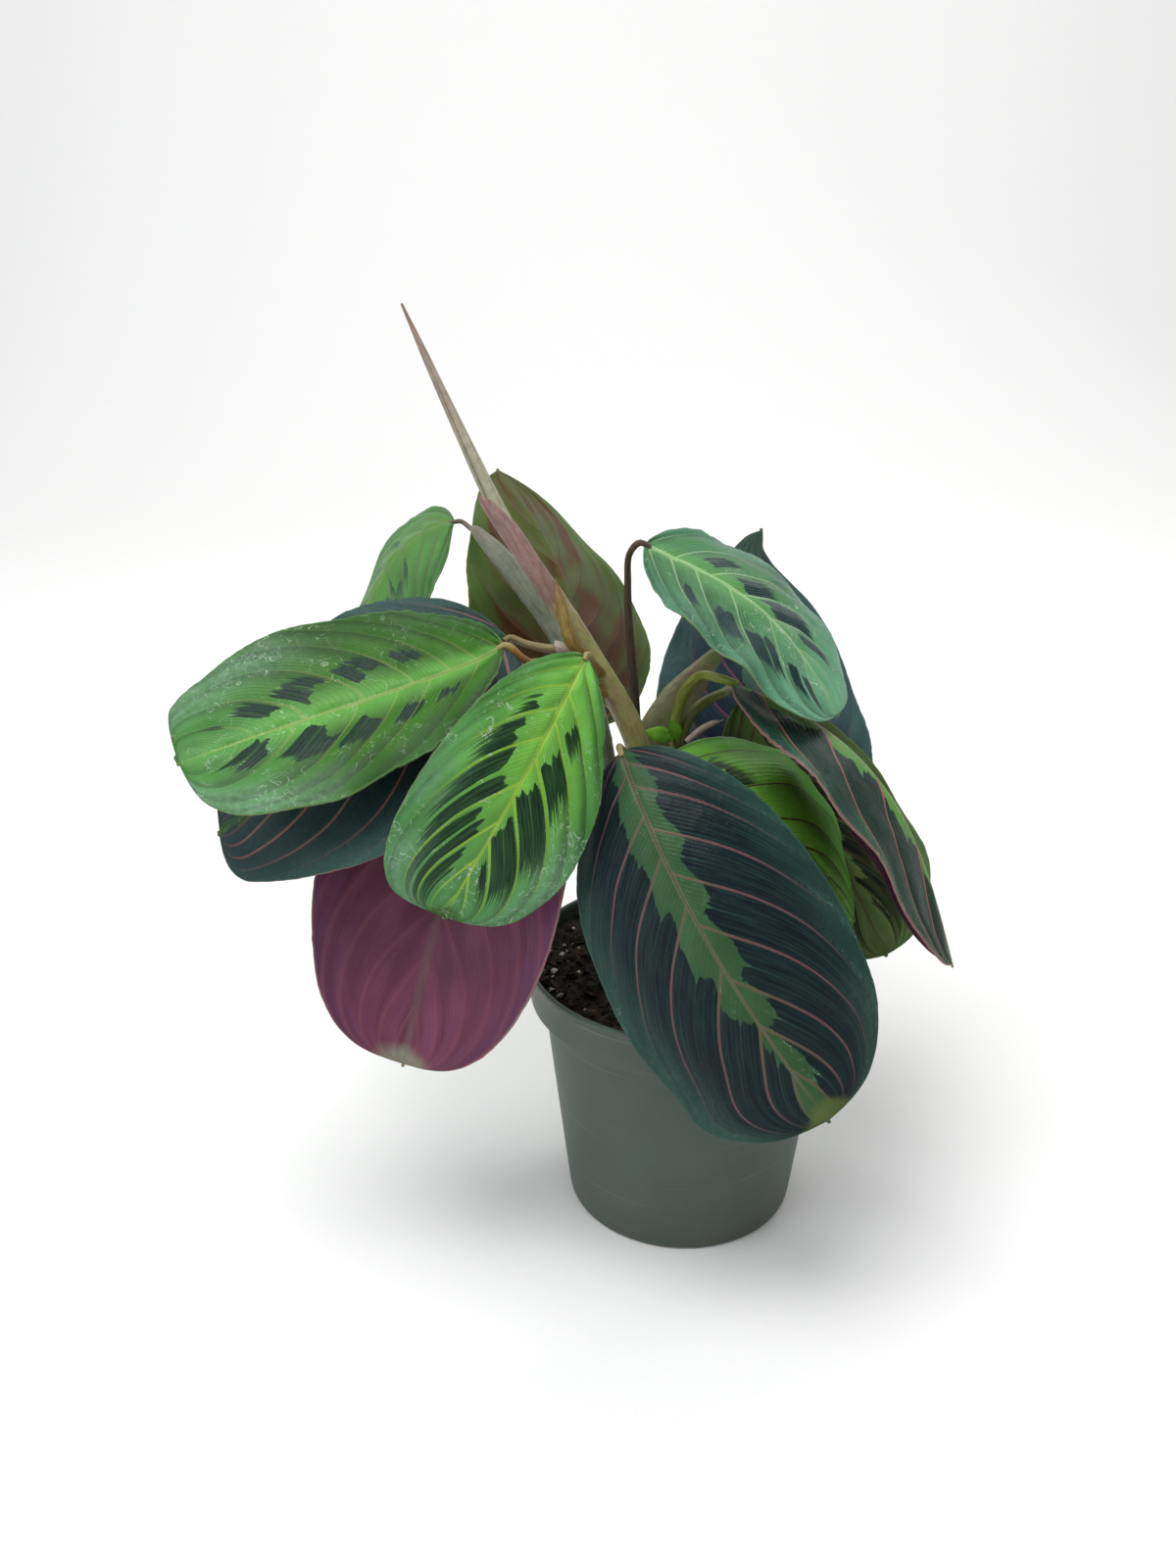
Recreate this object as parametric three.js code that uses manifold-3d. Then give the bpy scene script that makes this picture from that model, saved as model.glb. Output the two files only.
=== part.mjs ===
// Potted red prayer plant: twelve blades on six rooted stalks and stems, a rolled new
// leaf in its sheath, soil and a round nursery pot. Millimetres, +Z up. The origin is
// the centre of the pot's flat base.
import * as THREE from "three";
import { mergeVertices } from "three/addons/utils/BufferGeometryUtils.js";
import Module from "manifold-3d";

const wasm = await Module();
wasm.setup();

// Pot
const POT_HEIGHT = 90;
const POT_FOOT_RADIUS = 37.5;
const POT_STEP_Z = 76;
const POT_STEP_RADIUS = 46.8;
const POT_RIM_RADIUS = 52;
const POT_WALL = 1.2;
const POT_FLOOR = 1.6;
const POT_SEGMENTS = 40;
const DRAIN_COUNT = 6;
const DRAIN_RADIUS = 4;
const DRAIN_CIRCLE = 27;

// Soil
const SOIL_TOP = 84.5;
const SOIL_GAP = 0.45;
const SOIL_RINGS = 5;
const SOIL_BUMP = 1.1;

// Stalks in the soil
const ROOT_Z = 68;
const HOLE_GAP = 0.5;

// Blades
const BLADE_THICKNESS = 0.8;
const BLADE_ROWS = 14;
const BLADE_COLUMNS = 6;
const BLADE_ROOT_HALF = 1.0;
const BLADE_TIP_HALF = 0.5;
const STALK_SEAT = 0.6;
const STALK_SIDES = 8;

// Each blade: base and tip of the midrib, full width, arch of the midrib (bow), tilt
// about the midrib (roll), slope (fold) and roundness (curl) of the left and right
// halves, place of the arch's top (peak), sideways swing of the midrib (sway), twist
// from base to tip, roundness of the base and tip ends, height of the margin waves.
// A lobe swells or dents one margin: its half (0 left, 1 right), place, reach and width.
const LEAVES = {
  leaf_left_upper: {
    base: [-56.5, -14.8, 199.6], tip: [-148.3, -34, 171], width: 63, roll: -35, bow: -6,
    fold: [9, 0], curl: [4, -3], peak: 0.39, sway: 3, twist: -9, ends: [0.51, 0.36],
    wave: 1.2, color: 0x4f8a45, lobes: [[1, 0.5, 0.12, 1.5], [1, 0.82, 0.06, -1.2]],
  },
  leaf_front_centre: {
    base: [-32.6, -12.2, 195.8], tip: [-72.4, -54.6, 132.6], width: 54, roll: -53, bow: 16,
    fold: [-14, 11], curl: [-12, -2], peak: 0.51, sway: 1, twist: -2, ends: [0.63, 0.28],
    wave: 1, color: 0x5f9440,
  },
  leaf_left_lower: {
    base: [-56.4, 8.9, 194.4], tip: [-143.8, -17.3, 141.6], width: 76, roll: -38, bow: 11,
    fold: [9, 0], curl: [-6, -4], peak: 0.47, sway: -6, twist: 18, ends: [0.39, 0.45],
    wave: 1, color: 0x24454a, lobes: [[0, 0.95, 0.06, 2.5]],
  },
  leaf_front_right: {
    base: [-22.3, -20.5, 169.1], tip: [37.3, -70.2, 74.9], width: 74, roll: 56, bow: 13,
    fold: [-8, -6], curl: [-25, -17], peak: 0.39, sway: 2, twist: -17, ends: [0.49, 0.38],
    wave: 1.2, color: 0x223f44, lobes: [[1, 0.88, 0.07, 4], [0, 0.84, 0.1, 1.2]],
  },
  leaf_low_left: {
    base: [-57.6, 8.5, 179.4], tip: [-88.6, -41.2, 74.1], width: 74, roll: 160, bow: -7,
    fold: [-13, -13], curl: [0, -2], peak: 0.45, sway: 0, twist: 0, ends: [0.49, 0.42],
    wave: 1, color: 0x6a3a4c,
  },
  leaf_back_left: {
    base: [-77.7, 73.7, 215.2], tip: [-115, 47.8, 150.6], width: 58, roll: 18, bow: 11,
    fold: [-22, -6], curl: [0, 0], peak: 0.34, sway: 12, twist: 6, ends: [0.33, 0.42],
    wave: 1, color: 0x5a8c4d,
  },
  leaf_back_centre: {
    base: [-34.7, 49.2, 150.5], tip: [-64.4, 102.6, 227.6], width: 78, roll: 196, bow: -9,
    fold: [13, 7], curl: [0, 0], peak: 0.49, sway: -5, twist: 13, ends: [0.43, 0.69],
    wave: 1, color: 0x5c6b3c, lobes: [[0, 0.36, 0.12, 2.5], [0, 0.66, 0.1, -3.2]],
  },
  leaf_right_upper: {
    base: [-14.4, 21.4, 220.3], tip: [44.2, -0.9, 173], width: 56, roll: 18, bow: 8,
    fold: [-7, 5], curl: [-19, -5], peak: 0.52, sway: -5, twist: -11, ends: [0.52, 0.4],
    wave: 1.3, color: 0x4d8057, lobes: [[0, 0.12, 0.1, 2.2], [0, 0.43, 0.07, -2.5]],
  },
  leaf_back_right: {
    base: [33.9, 26.8, 120.6], tip: [29.4, 92.3, 208.8], width: 75, roll: 8, bow: -7,
    fold: [-1, -3], curl: [0, 0], peak: 0.47, sway: -3, twist: 8, ends: [0.32, 0.75],
    wave: 1, color: 0x2d4453, lobes: [[1, 0.91, 0.1, -9], [0, 0.88, 0.06, -2]],
  },
  leaf_right_inner: {
    base: [-8.4, 5.8, 154.8], tip: [52.4, -9.8, 107.1], width: 66, roll: 14, bow: 12,
    fold: [-4, 0], curl: [-2, -10], peak: 0.48, sway: 1, twist: -12, ends: [0.47, 0.48],
    wave: 1, color: 0x4f8a34,
  },
  leaf_right_folded: {
    base: [12.6, 8.2, 180.5], tip: [78.9, -31.6, 103.3], width: 63, roll: -30, bow: 17,
    fold: [-28, -26], curl: [0, 0], peak: 0.46, sway: 2, twist: -4, ends: [0.49, 0.56],
    wave: 1, color: 0x2a4a45,
  },
  leaf_right_shaded: {
    base: [18.5, 36.3, 164.2], tip: [65, -4.4, 91], width: 53, roll: 30, bow: -4,
    fold: [2, 1], curl: [0, 0], peak: 0.44, sway: -4, twist: 3, ends: [0.51, 0.44],
    wave: 1, color: 0x3f5230, lobes: [[0, 0.78, 0.15, 3]],
  },
};

const WAVE_COUNT = 3;
const radians = THREE.MathUtils.degToRad;
const vec = (p) => new THREE.Vector3(p[0], p[1], p[2]);

// Blade surface

function bladeFrame(leaf) {
  const base = vec(leaf.base);
  const chord = vec(leaf.tip).sub(base);
  const along = chord.clone().normalize();
  const up = new THREE.Vector3(0, 0, 1);
  const normal = up.addScaledVector(along, -up.dot(along)).normalize();
  const side = new THREE.Vector3().crossVectors(along, normal);
  const roll = radians(leaf.roll);
  const turnedNormal = normal.clone().multiplyScalar(Math.cos(roll));
  turnedNormal.addScaledVector(side, Math.sin(roll));
  const turnedSide = side.clone().multiplyScalar(Math.cos(roll));
  turnedSide.addScaledVector(normal, -Math.sin(roll));
  return { base, chord, normal: turnedNormal, side: turnedSide };
}

function midrib(leaf, frame, s) {
  const q = Math.log(0.5) / Math.log(leaf.peak);
  const p = frame.base.clone().addScaledVector(frame.chord, s);
  p.addScaledVector(frame.normal, leaf.bow * Math.sin(Math.PI * s ** q));
  return p.addScaledVector(frame.side, leaf.sway * Math.sin(Math.PI * s));
}

function midribTangent(leaf, frame, s) {
  const step = 1e-4;
  const before = midrib(leaf, frame, Math.max(0, s - step));
  const after = midrib(leaf, frame, Math.min(1, s + step));
  return after.sub(before).normalize();
}

function halfWidth(leaf, s, half) {
  const [a, b] = leaf.ends;
  const widest = a / (a + b);
  const top = widest ** a * (1 - widest) ** b;
  const body = Math.min(s / 0.98, 1);
  let h = (leaf.width / 2) * (body ** a * (1 - body) ** b) / top;
  const point = Math.min(Math.max((1 - s) / 0.02, 0), 1);
  h += leaf.width * 0.02 * point * Math.min(s / 0.2, 1);
  for (const [on, place, reach, amount] of leaf.lobes ?? []) {
    if (on === half) h += amount * Math.exp(-(((s - place) / reach) ** 2));
  }
  return Math.max(h, s < 0.5 ? BLADE_ROOT_HALF : BLADE_TIP_HALF);
}

function bladePoint(leaf, frame, s, t) {
  const tangent = midribTangent(leaf, frame, s);
  const normal = frame.normal.clone().addScaledVector(tangent, -frame.normal.dot(tangent));
  normal.normalize();
  const side = new THREE.Vector3().crossVectors(tangent, normal);
  const twist = radians(leaf.twist) * (s - 0.5);
  const out = side.clone().multiplyScalar(Math.cos(twist));
  out.addScaledVector(normal, -Math.sin(twist));
  const lift = normal.clone().multiplyScalar(Math.cos(twist));
  lift.addScaledVector(side, Math.sin(twist));
  const half = t > 0 ? 1 : 0;
  const fold = radians(leaf.fold[half]);
  const bend = radians(leaf.curl[half]) / (leaf.width / 2);
  const d = Math.abs(t) * halfWidth(leaf, s, half);
  let x = d * Math.cos(fold);
  let z = d * Math.sin(fold);
  if (Math.abs(bend) > 1e-9) {
    x = (Math.sin(fold + bend * d) - Math.sin(fold)) / bend;
    z = (Math.cos(fold) - Math.cos(fold + bend * d)) / bend;
  }
  const ripple = Math.sin(2 * Math.PI * (WAVE_COUNT * s + 0.35 * half));
  z += leaf.wave * Math.abs(t) ** 3 * ripple * Math.sqrt(Math.max(Math.sin(Math.PI * s), 0));
  const p = midrib(leaf, frame, s).addScaledVector(out, Math.sign(t) * x);
  return p.addScaledVector(lift, z);
}

function bladeNormal(leaf, frame, s, t) {
  const step = 1e-3;
  const s0 = Math.max(s - step, 0);
  const s1 = Math.min(s + step, 1);
  const t0 = Math.max(t - 0.02, -1);
  const t1 = Math.min(t + 0.02, 1);
  const ds = bladePoint(leaf, frame, s1, t).sub(bladePoint(leaf, frame, s0, t));
  const dt = bladePoint(leaf, frame, s, t1).sub(bladePoint(leaf, frame, s, t0));
  return dt.cross(ds).normalize();
}

// A closed blade: the same grid on the upper and lower faces, joined round the edge.
function bladeGeometry(leaf) {
  const frame = bladeFrame(leaf);
  const rows = BLADE_ROWS;
  const columns = BLADE_COLUMNS;
  const points = [];
  for (const face of [1, -1]) {
    for (let i = 0; i <= rows; i += 1) {
      const s = 0.5 * (1 - Math.cos((Math.PI * i) / rows));
      for (let j = 0; j <= columns; j += 1) {
        const t = -1 + (2 * j) / columns;
        const p = bladePoint(leaf, frame, s, t);
        p.addScaledVector(bladeNormal(leaf, frame, s, t), (face * BLADE_THICKNESS) / 2);
        points.push(p.x, p.y, p.z);
      }
    }
  }
  const at = (face, i, j) => face * (rows + 1) * (columns + 1) + i * (columns + 1) + j;
  const faces = [];
  for (let i = 0; i < rows; i += 1) {
    for (let j = 0; j < columns; j += 1) {
      const [a, b, c, d] = [at(0, i, j), at(0, i, j + 1), at(0, i + 1, j + 1), at(0, i + 1, j)];
      faces.push(a, b, c, a, c, d);
      const lower = (rows + 1) * (columns + 1);
      faces.push(a + lower, c + lower, b + lower, a + lower, d + lower, c + lower);
    }
  }
  const edge = [];
  for (let j = 0; j < columns; j += 1) edge.push([0, j]);
  for (let i = 0; i < rows; i += 1) edge.push([i, columns]);
  for (let j = columns; j > 0; j -= 1) edge.push([rows, j]);
  for (let i = rows; i > 0; i -= 1) edge.push([i, 0]);
  edge.forEach(([i, j], k) => {
    const [m, n] = edge[(k + 1) % edge.length];
    faces.push(at(0, i, j), at(1, i, j), at(0, m, n));
    faces.push(at(0, m, n), at(1, i, j), at(1, m, n));
  });
  const geometry = new THREE.BufferGeometry();
  geometry.setAttribute("position", new THREE.Float32BufferAttribute(points, 3));
  geometry.setIndex(faces);
  return geometry;
}

// The two points that bring a stalk to the base of a blade, the first one reach before it.
function stalkEnd(name, reach = 5) {
  const leaf = LEAVES[name];
  const frame = bladeFrame(leaf);
  const tangent = midribTangent(leaf, frame, 0.02);
  const seat = frame.base.clone().addScaledVector(tangent, -STALK_SEAT);
  const before = frame.base.clone().addScaledVector(tangent, -reach);
  return [before.toArray(), seat.toArray()];
}

// Stalks: a round or flattened section carried along a smooth path

function stalkGeometry(path, radii, { steps = 16, flat = 1, facing = [0.3, -1, 0.1] } = {}) {
  const curve = new THREE.CatmullRomCurve3(path.map(vec), false, "centripetal");
  const points = [];
  const faces = [];
  let side = vec(facing);
  for (let i = 0; i <= steps; i += 1) {
    const u = i / steps;
    const tangent = curve.getTangentAt(u);
    side.addScaledVector(tangent, -side.dot(tangent)).normalize();
    const across = new THREE.Vector3().crossVectors(tangent, side);
    const place = u * (radii.length - 1);
    const k = Math.min(Math.floor(place), radii.length - 2);
    const radius = THREE.MathUtils.lerp(radii[k], radii[k + 1], place - k);
    const centre = curve.getPointAt(u);
    for (let j = 0; j < STALK_SIDES; j += 1) {
      const angle = (2 * Math.PI * j) / STALK_SIDES;
      const p = centre.clone().addScaledVector(side, radius * flat * Math.cos(angle));
      p.addScaledVector(across, radius * Math.sin(angle));
      points.push(p.x, p.y, p.z);
    }
    if (i === 0 || i === steps) points.push(centre.x, centre.y, centre.z);
  }
  const first = STALK_SIDES;
  const ring = (i, j) => (i > 0 ? 1 : 0) + i * STALK_SIDES + (j % STALK_SIDES);
  const last = (steps + 1) * STALK_SIDES + 1;
  for (let j = 0; j < STALK_SIDES; j += 1) {
    faces.push(first, ring(0, j + 1), ring(0, j));
    faces.push(last, ring(steps, j), ring(steps, j + 1));
    for (let i = 0; i < steps; i += 1) {
      faces.push(ring(i, j), ring(i, j + 1), ring(i + 1, j));
      faces.push(ring(i + 1, j), ring(i, j + 1), ring(i + 1, j + 1));
    }
  }
  const geometry = new THREE.BufferGeometry();
  geometry.setAttribute("position", new THREE.Float32BufferAttribute(points, 3));
  geometry.setIndex(faces);
  return geometry;
}

// Joining and cutting

function solid(geometry) {
  const bare = geometry.clone();
  bare.deleteAttribute("normal");
  bare.deleteAttribute("uv");
  const merged = mergeVertices(bare, 1e-4);
  const index = merged.index.array;
  const triangles = [];
  for (let i = 0; i < index.length; i += 3) {
    const [a, b, c] = [index[i], index[i + 1], index[i + 2]];
    if (a !== b && b !== c && a !== c) triangles.push(a, b, c);
  }
  return new wasm.Manifold(new wasm.Mesh({
    numProp: 3,
    vertProperties: new Float32Array(merged.attributes.position.array),
    triVerts: new Uint32Array(triangles),
  }));
}

function geometryOf(body) {
  const mesh = body.getMesh();
  const geometry = new THREE.BufferGeometry();
  geometry.setAttribute("position", new THREE.Float32BufferAttribute(mesh.vertProperties, 3));
  geometry.setIndex(Array.from(mesh.triVerts));
  return geometry;
}

function joined(geometries) {
  return geometryOf(geometries.map(solid).reduce((all, next) => all.add(next)));
}

// Pot: stepped rim band with a rounded lip, flat floor with drain holes

function potInside(offset) {
  return [
    [POT_FOOT_RADIUS - 1 - offset, POT_FLOOR + offset],
    [POT_STEP_RADIUS - POT_WALL - offset, POT_STEP_Z + 1.2 + offset],
    [POT_RIM_RADIUS - 2.4 - offset, POT_STEP_Z + 2 + offset],
    [POT_RIM_RADIUS - 1.9 - offset, POT_HEIGHT - 2],
  ];
}

function potGeometry() {
  const outside = [
    [0, 0],
    [POT_FOOT_RADIUS, 0],
    [POT_FOOT_RADIUS + 0.6, 0.8],
    [POT_STEP_RADIUS, POT_STEP_Z],
    [POT_RIM_RADIUS - 1.4, POT_STEP_Z],
    [POT_RIM_RADIUS - 1, POT_STEP_Z + 0.6],
    [POT_RIM_RADIUS - 0.7, POT_HEIGHT - 2.4],
    [POT_RIM_RADIUS, POT_HEIGHT - 1.8],
    [POT_RIM_RADIUS, POT_HEIGHT - 0.6],
    [POT_RIM_RADIUS - 0.6, POT_HEIGHT],
    [POT_RIM_RADIUS - 1.5, POT_HEIGHT],
  ];
  const inside = potInside(0).reverse();
  const profile = [...outside, ...inside, [0, POT_FLOOR]].map((p) => new THREE.Vector2(p[0], p[1]));
  const shell = new THREE.LatheGeometry(profile, POT_SEGMENTS);
  shell.rotateX(Math.PI / 2);
  let body = solid(shell);
  for (let i = 0; i < DRAIN_COUNT; i += 1) {
    const angle = (2 * Math.PI * (i + 0.5)) / DRAIN_COUNT;
    const drain = new THREE.CylinderGeometry(DRAIN_RADIUS, DRAIN_RADIUS, 6, 12);
    drain.rotateX(Math.PI / 2);
    drain.translate(DRAIN_CIRCLE * Math.cos(angle), DRAIN_CIRCLE * Math.sin(angle), 0);
    body = body.subtract(solid(drain));
  }
  return geometryOf(body);
}

// Soil: fills the pot to just under the rim, with a bumpy top and a hole for each stalk

function soilHeight(x, y) {
  const wave = Math.sin(x * 0.31 + 1.3) * Math.cos(y * 0.27 - 0.6);
  const fine = Math.sin(x * 0.83 - y * 0.52) * 0.5;
  const dome = 1 - (x * x + y * y) / 2500;
  return SOIL_TOP + dome + SOIL_BUMP * (wave + fine);
}

function soilGeometry(holes) {
  const wall = potInside(SOIL_GAP);
  const rimRadius = wall[3][0] - 0.2;
  const points = [[0, 0, wall[0][1]]];
  const loops = [];
  const addLoop = (radius, height) => {
    const start = points.length;
    for (let j = 0; j < POT_SEGMENTS; j += 1) {
      const angle = (2 * Math.PI * j) / POT_SEGMENTS;
      const x = radius * Math.cos(angle);
      const y = radius * Math.sin(angle);
      points.push([x, y, height === null ? soilHeight(x, y) : height]);
    }
    loops.push(start);
  };
  for (const [radius, height] of wall.slice(0, 3)) addLoop(radius, height);
  for (let k = SOIL_RINGS; k > 0; k -= 1) addLoop((rimRadius * k) / SOIL_RINGS, null);
  points.push([0, 0, soilHeight(0, 0)]);
  const faces = [];
  for (let j = 0; j < POT_SEGMENTS; j += 1) {
    const next = (j + 1) % POT_SEGMENTS;
    faces.push(0, loops[0] + next, loops[0] + j);
    for (let k = 0; k + 1 < loops.length; k += 1) {
      faces.push(loops[k] + j, loops[k] + next, loops[k + 1] + j);
      faces.push(loops[k + 1] + j, loops[k] + next, loops[k + 1] + next);
    }
    const top = loops[loops.length - 1];
    faces.push(top + j, top + next, points.length - 1);
  }
  const geometry = new THREE.BufferGeometry();
  geometry.setAttribute("position", new THREE.Float32BufferAttribute(points.flat(), 3));
  geometry.setIndex(faces);
  let body = solid(geometry);
  for (const [x, y, radius] of holes) {
    const hole = new THREE.CylinderGeometry(radius + HOLE_GAP, radius + HOLE_GAP, 40, 12);
    hole.rotateX(Math.PI / 2);
    hole.translate(x, y, ROOT_Z - HOLE_GAP + 20);
    body = body.subtract(solid(hole));
  }
  return geometryOf(body);
}

// Stalk groups. Each root stands upright in its hole in the soil.

const MAIN_ROOT = [-10, 1.5, 4.2];
const BACK_ROOT = [-22, 30, 3];
const BROWN_ROOT = [-13, 17, 2.3];
const CENTRE_ROOT = [4, 18, 2.8];
const BROAD_ROOT = [-4, 27.5, 3.4];
const RIGHT_ROOT = [20, 22, 2.2];
const rooted = ([x, y]) => [[x, y, ROOT_Z], [x, y, 80], [x, y, 90]];

function mainStem() {
  const stem = stalkGeometry(
    [...rooted(MAIN_ROOT), [-13, 2, 130], [-17, 3, 163], [-32, 8.5, 190.8], [-44.2, 16.1, 208.2]],
    [4.2, 4.2, 4, 3.8, 3.5, 3.3], { steps: 20 });
  const toLeftUpper = stalkGeometry(
    [[-23.7, 5.5, 176.5], [-32, 0, 182.5], [-41, -7, 188.5], [-50, -14.3, 195.3],
      ...stalkEnd("leaf_left_upper", 2)],
    [1.6, 1.5, 1.4, 1.2], { steps: 14 });
  const toFrontCentre = stalkGeometry(
    [[-27.5, 6.5, 184], [-29.5, -2, 189], [-30.5, -8, 192.6], ...stalkEnd("leaf_front_centre", 2)],
    [1.7, 1.4, 1.2], { steps: 10 });
  const toLeftLower = stalkGeometry(
    [[-31, 8, 189.5], [-38, 7.5, 191.2], [-45.1, 7.3, 191.8], [-51.5, 8.8, 192.4],
      ...stalkEnd("leaf_left_lower", 2)],
    [1.9, 1.8, 1.7, 1.4], { steps: 12 });
  const toLowLeft = stalkGeometry(
    [[-22, 4.6, 173], [-34, 7, 180], [-46, 11, 186], ...stalkEnd("leaf_low_left")],
    [1.6, 1.5, 1.3], { steps: 10 });
  const toFrontRight = stalkGeometry(
    [[-15.5, 3, 150], [-19, -2.5, 160], [-21.6, -14, 167.2], ...stalkEnd("leaf_front_right", 2)],
    [1.9, 1.7, 1.5, 1.4], { steps: 10 });
  const toRightInner = stalkGeometry(
    [[-13.5, 2.2, 135], [-14.5, 8.5, 146], ...stalkEnd("leaf_right_inner")],
    [1.7, 1.5, 1.3], { steps: 8 });
  return joined([
    stem, toLeftUpper, toFrontCentre, toLeftLower, toLowLeft, toFrontRight, toRightInner,
  ]);
}

function backStem() {
  const stem = stalkGeometry(
    [...rooted(BACK_ROOT), [-25, 31, 140], [-32, 32.6, 169], [-43.2, 41, 188],
      [-57, 47, 206], [-68, 55, 216], [-71.5, 67, 214.8], ...stalkEnd("leaf_back_left", 2)],
    [3, 3, 3, 3, 3.1, 3.2, 3.4, 3.6, 3.7, 3.3, 1.3, 1.1], { steps: 33 });
  const toBackCentre = stalkGeometry(
    [[-23.5, 30.5, 118], [-29, 37, 132], ...stalkEnd("leaf_back_centre")],
    [1.9, 1.7, 1.5], { steps: 8 });
  return joined([stem, toBackCentre]);
}

function centreStem() {
  const stem = stalkGeometry(
    [...rooted(CENTRE_ROOT), [-1, 20.5, 132], [-3.8, 22.2, 159.5], [-1.4, 22.1, 171.9],
      [2.8, 20, 178.2], ...stalkEnd("leaf_right_folded")],
    [2.8, 2.8, 2.6, 2.4, 2.1, 1.5], { steps: 22 });
  const toShaded = stalkGeometry(
    [[-3, 21.6, 146], [-0.5, 24, 160], [4, 26.3, 166.4], [12, 31, 169],
      ...stalkEnd("leaf_right_shaded")],
    [1.8, 1.7, 1.4], { steps: 14 });
  return joined([stem, toShaded]);
}

const SHEATH_BASE = [-44.5, 16.3, 208.6];
const SHEATH_TOP = [-64.2, 27.5, 234.3];
const ROLL_PATH = [
  [-52.4, 20.9, 219], [-60.3, 30.2, 230.7], [-71.4, 41.3, 251.1], [-90.1, 61.2, 286.9],
];
const ROLL_RADII = [2, 2.3, 1.9, 1.5, 1.1, 0.6];

// The sheath wraps the foot of the rolled leaf and is open where that leaf leaves it.
function sheath() {
  const wrap = stalkGeometry(
    [SHEATH_BASE, [-54, 22.2, 221.3], SHEATH_TOP],
    [3.3, 3.6, 3.4, 2.4], { steps: 8 });
  const room = stalkGeometry(ROLL_PATH, ROLL_RADII.map((r) => r + 0.36), { steps: 16 });
  const foot = new THREE.SphereGeometry(ROLL_RADII[0] + 0.4, 12, 8);
  foot.translate(...ROLL_PATH[0]);
  return geometryOf(solid(wrap).subtract(solid(room)).subtract(solid(foot)));
}

// A shoot of two small leaves beside the centre stalk
function sprout() {
  const facing = [0, -0.9, 0.45];
  const stalk = stalkGeometry(
    [[-4.7, 19.4, 157.4], [-5.2, 17.2, 158.6], [-5.5, 15.6, 159.6]],
    [0.9, 0.8], { steps: 4 });
  const lower = stalkGeometry(
    [[-5, 15.8, 159.4], [-9, 14.6, 160.9], [-14.3, 13.4, 162.6]],
    [0.7, 2.5, 2.8, 2, 0.3], { steps: 8, flat: 0.3, facing });
  const upper = stalkGeometry(
    [[-5.4, 15.7, 159.3], [-4.4, 14.8, 162.2], [-6, 13.9, 166.4]],
    [0.7, 2.4, 2.6, 1.8, 0.3], { steps: 8, flat: 0.3, facing });
  return joined([stalk, lower, upper]);
}

// Parts

const part = new THREE.Group();
part.name = "potted_prayer_plant";

function addPart(name, geometry, color, roughness = 0.6) {
  const flat = geometry.index ? geometry.toNonIndexed() : geometry;
  flat.computeVertexNormals();
  const material = new THREE.MeshStandardMaterial({ color, roughness });
  const mesh = new THREE.Mesh(flat, material);
  mesh.name = name;
  part.add(mesh);
}

addPart("pot", potGeometry(), 0x4c6558, 0.5);
addPart("soil", soilGeometry([
  MAIN_ROOT, BACK_ROOT, BROWN_ROOT, CENTRE_ROOT, BROAD_ROOT, RIGHT_ROOT,
]), 0x2b221b, 0.95);
addPart("stem_main", mainStem(), 0x76794a);
addPart("stem_back", backStem(), 0x87896f);
addPart("stem_centre", centreStem(), 0x849146);
addPart("stalk_brown", stalkGeometry(
  [...rooted(BROWN_ROOT), [-15.5, 20.5, 130], [-16.9, 22.5, 167.8], [-18.9, 28.2, 192],
    [-19.6, 27, 207], [-19.2, 22.6, 217.5], ...stalkEnd("leaf_right_upper", 2)],
  [2.3, 2.3, 2.1, 1.8, 1.5, 1.2, 1.05], { steps: 24 }), 0x4a3a28);
addPart("stalk_broad", stalkGeometry(
  [...rooted(BROAD_ROOT), [-10, 27.5, 130], [-11, 31, 150], [-2, 38, 164], [6, 43, 172.5],
    [11, 46.3, 177.3]],
  [3, 3.1, 3.6, 5, 6.6, 6.4, 2.6], { steps: 18, flat: 0.36, facing: [0.15, -0.9, 0.4] }), 0x8a8a6c);
addPart("stalk_right", stalkGeometry(
  [...rooted(RIGHT_ROOT), [26, 23, 104], ...stalkEnd("leaf_back_right")],
  [1.9, 1.9, 1.8, 1.6], { steps: 12 }), 0x6f7a45);
addPart("sheath_pink", sheath(), 0xa07a74);
addPart("rolled_leaf", stalkGeometry(ROLL_PATH, ROLL_RADII, { steps: 16 }), 0xa9ab8c);
addPart("sheath_dry", stalkGeometry(
  [[-32.8, 3, 189.8], [-37, 0.9, 196], [-39.9, 5.1, 205.4], [-42.3, 11, 212.6]],
  [1.9, 2.1, 1.7, 0.8], { steps: 8 }), 0xa0772f);
addPart("bract_dry", stalkGeometry(
  [[-0.4, 20.4, 156.2], [4.6, 22, 160], [11.4, 25, 162.5]],
  [1, 1.1, 0.8], { steps: 5 }), 0xb59f90);
addPart("sprout", sprout(), 0x7db22e);
for (const [name, leaf] of Object.entries(LEAVES)) {
  addPart(name, bladeGeometry(leaf), leaf.color, 0.45);
}

export default part;
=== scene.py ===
"""Potted red prayer plant: the looks of its blades, stalks, soil and nursery pot.

Sizes are in millimetres until a mesh is made; the scene is in metres, +Z up. The origin
is the centre of the pot's flat base. Blades and stalks follow the same curves as the
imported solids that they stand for.
"""

import math

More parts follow.
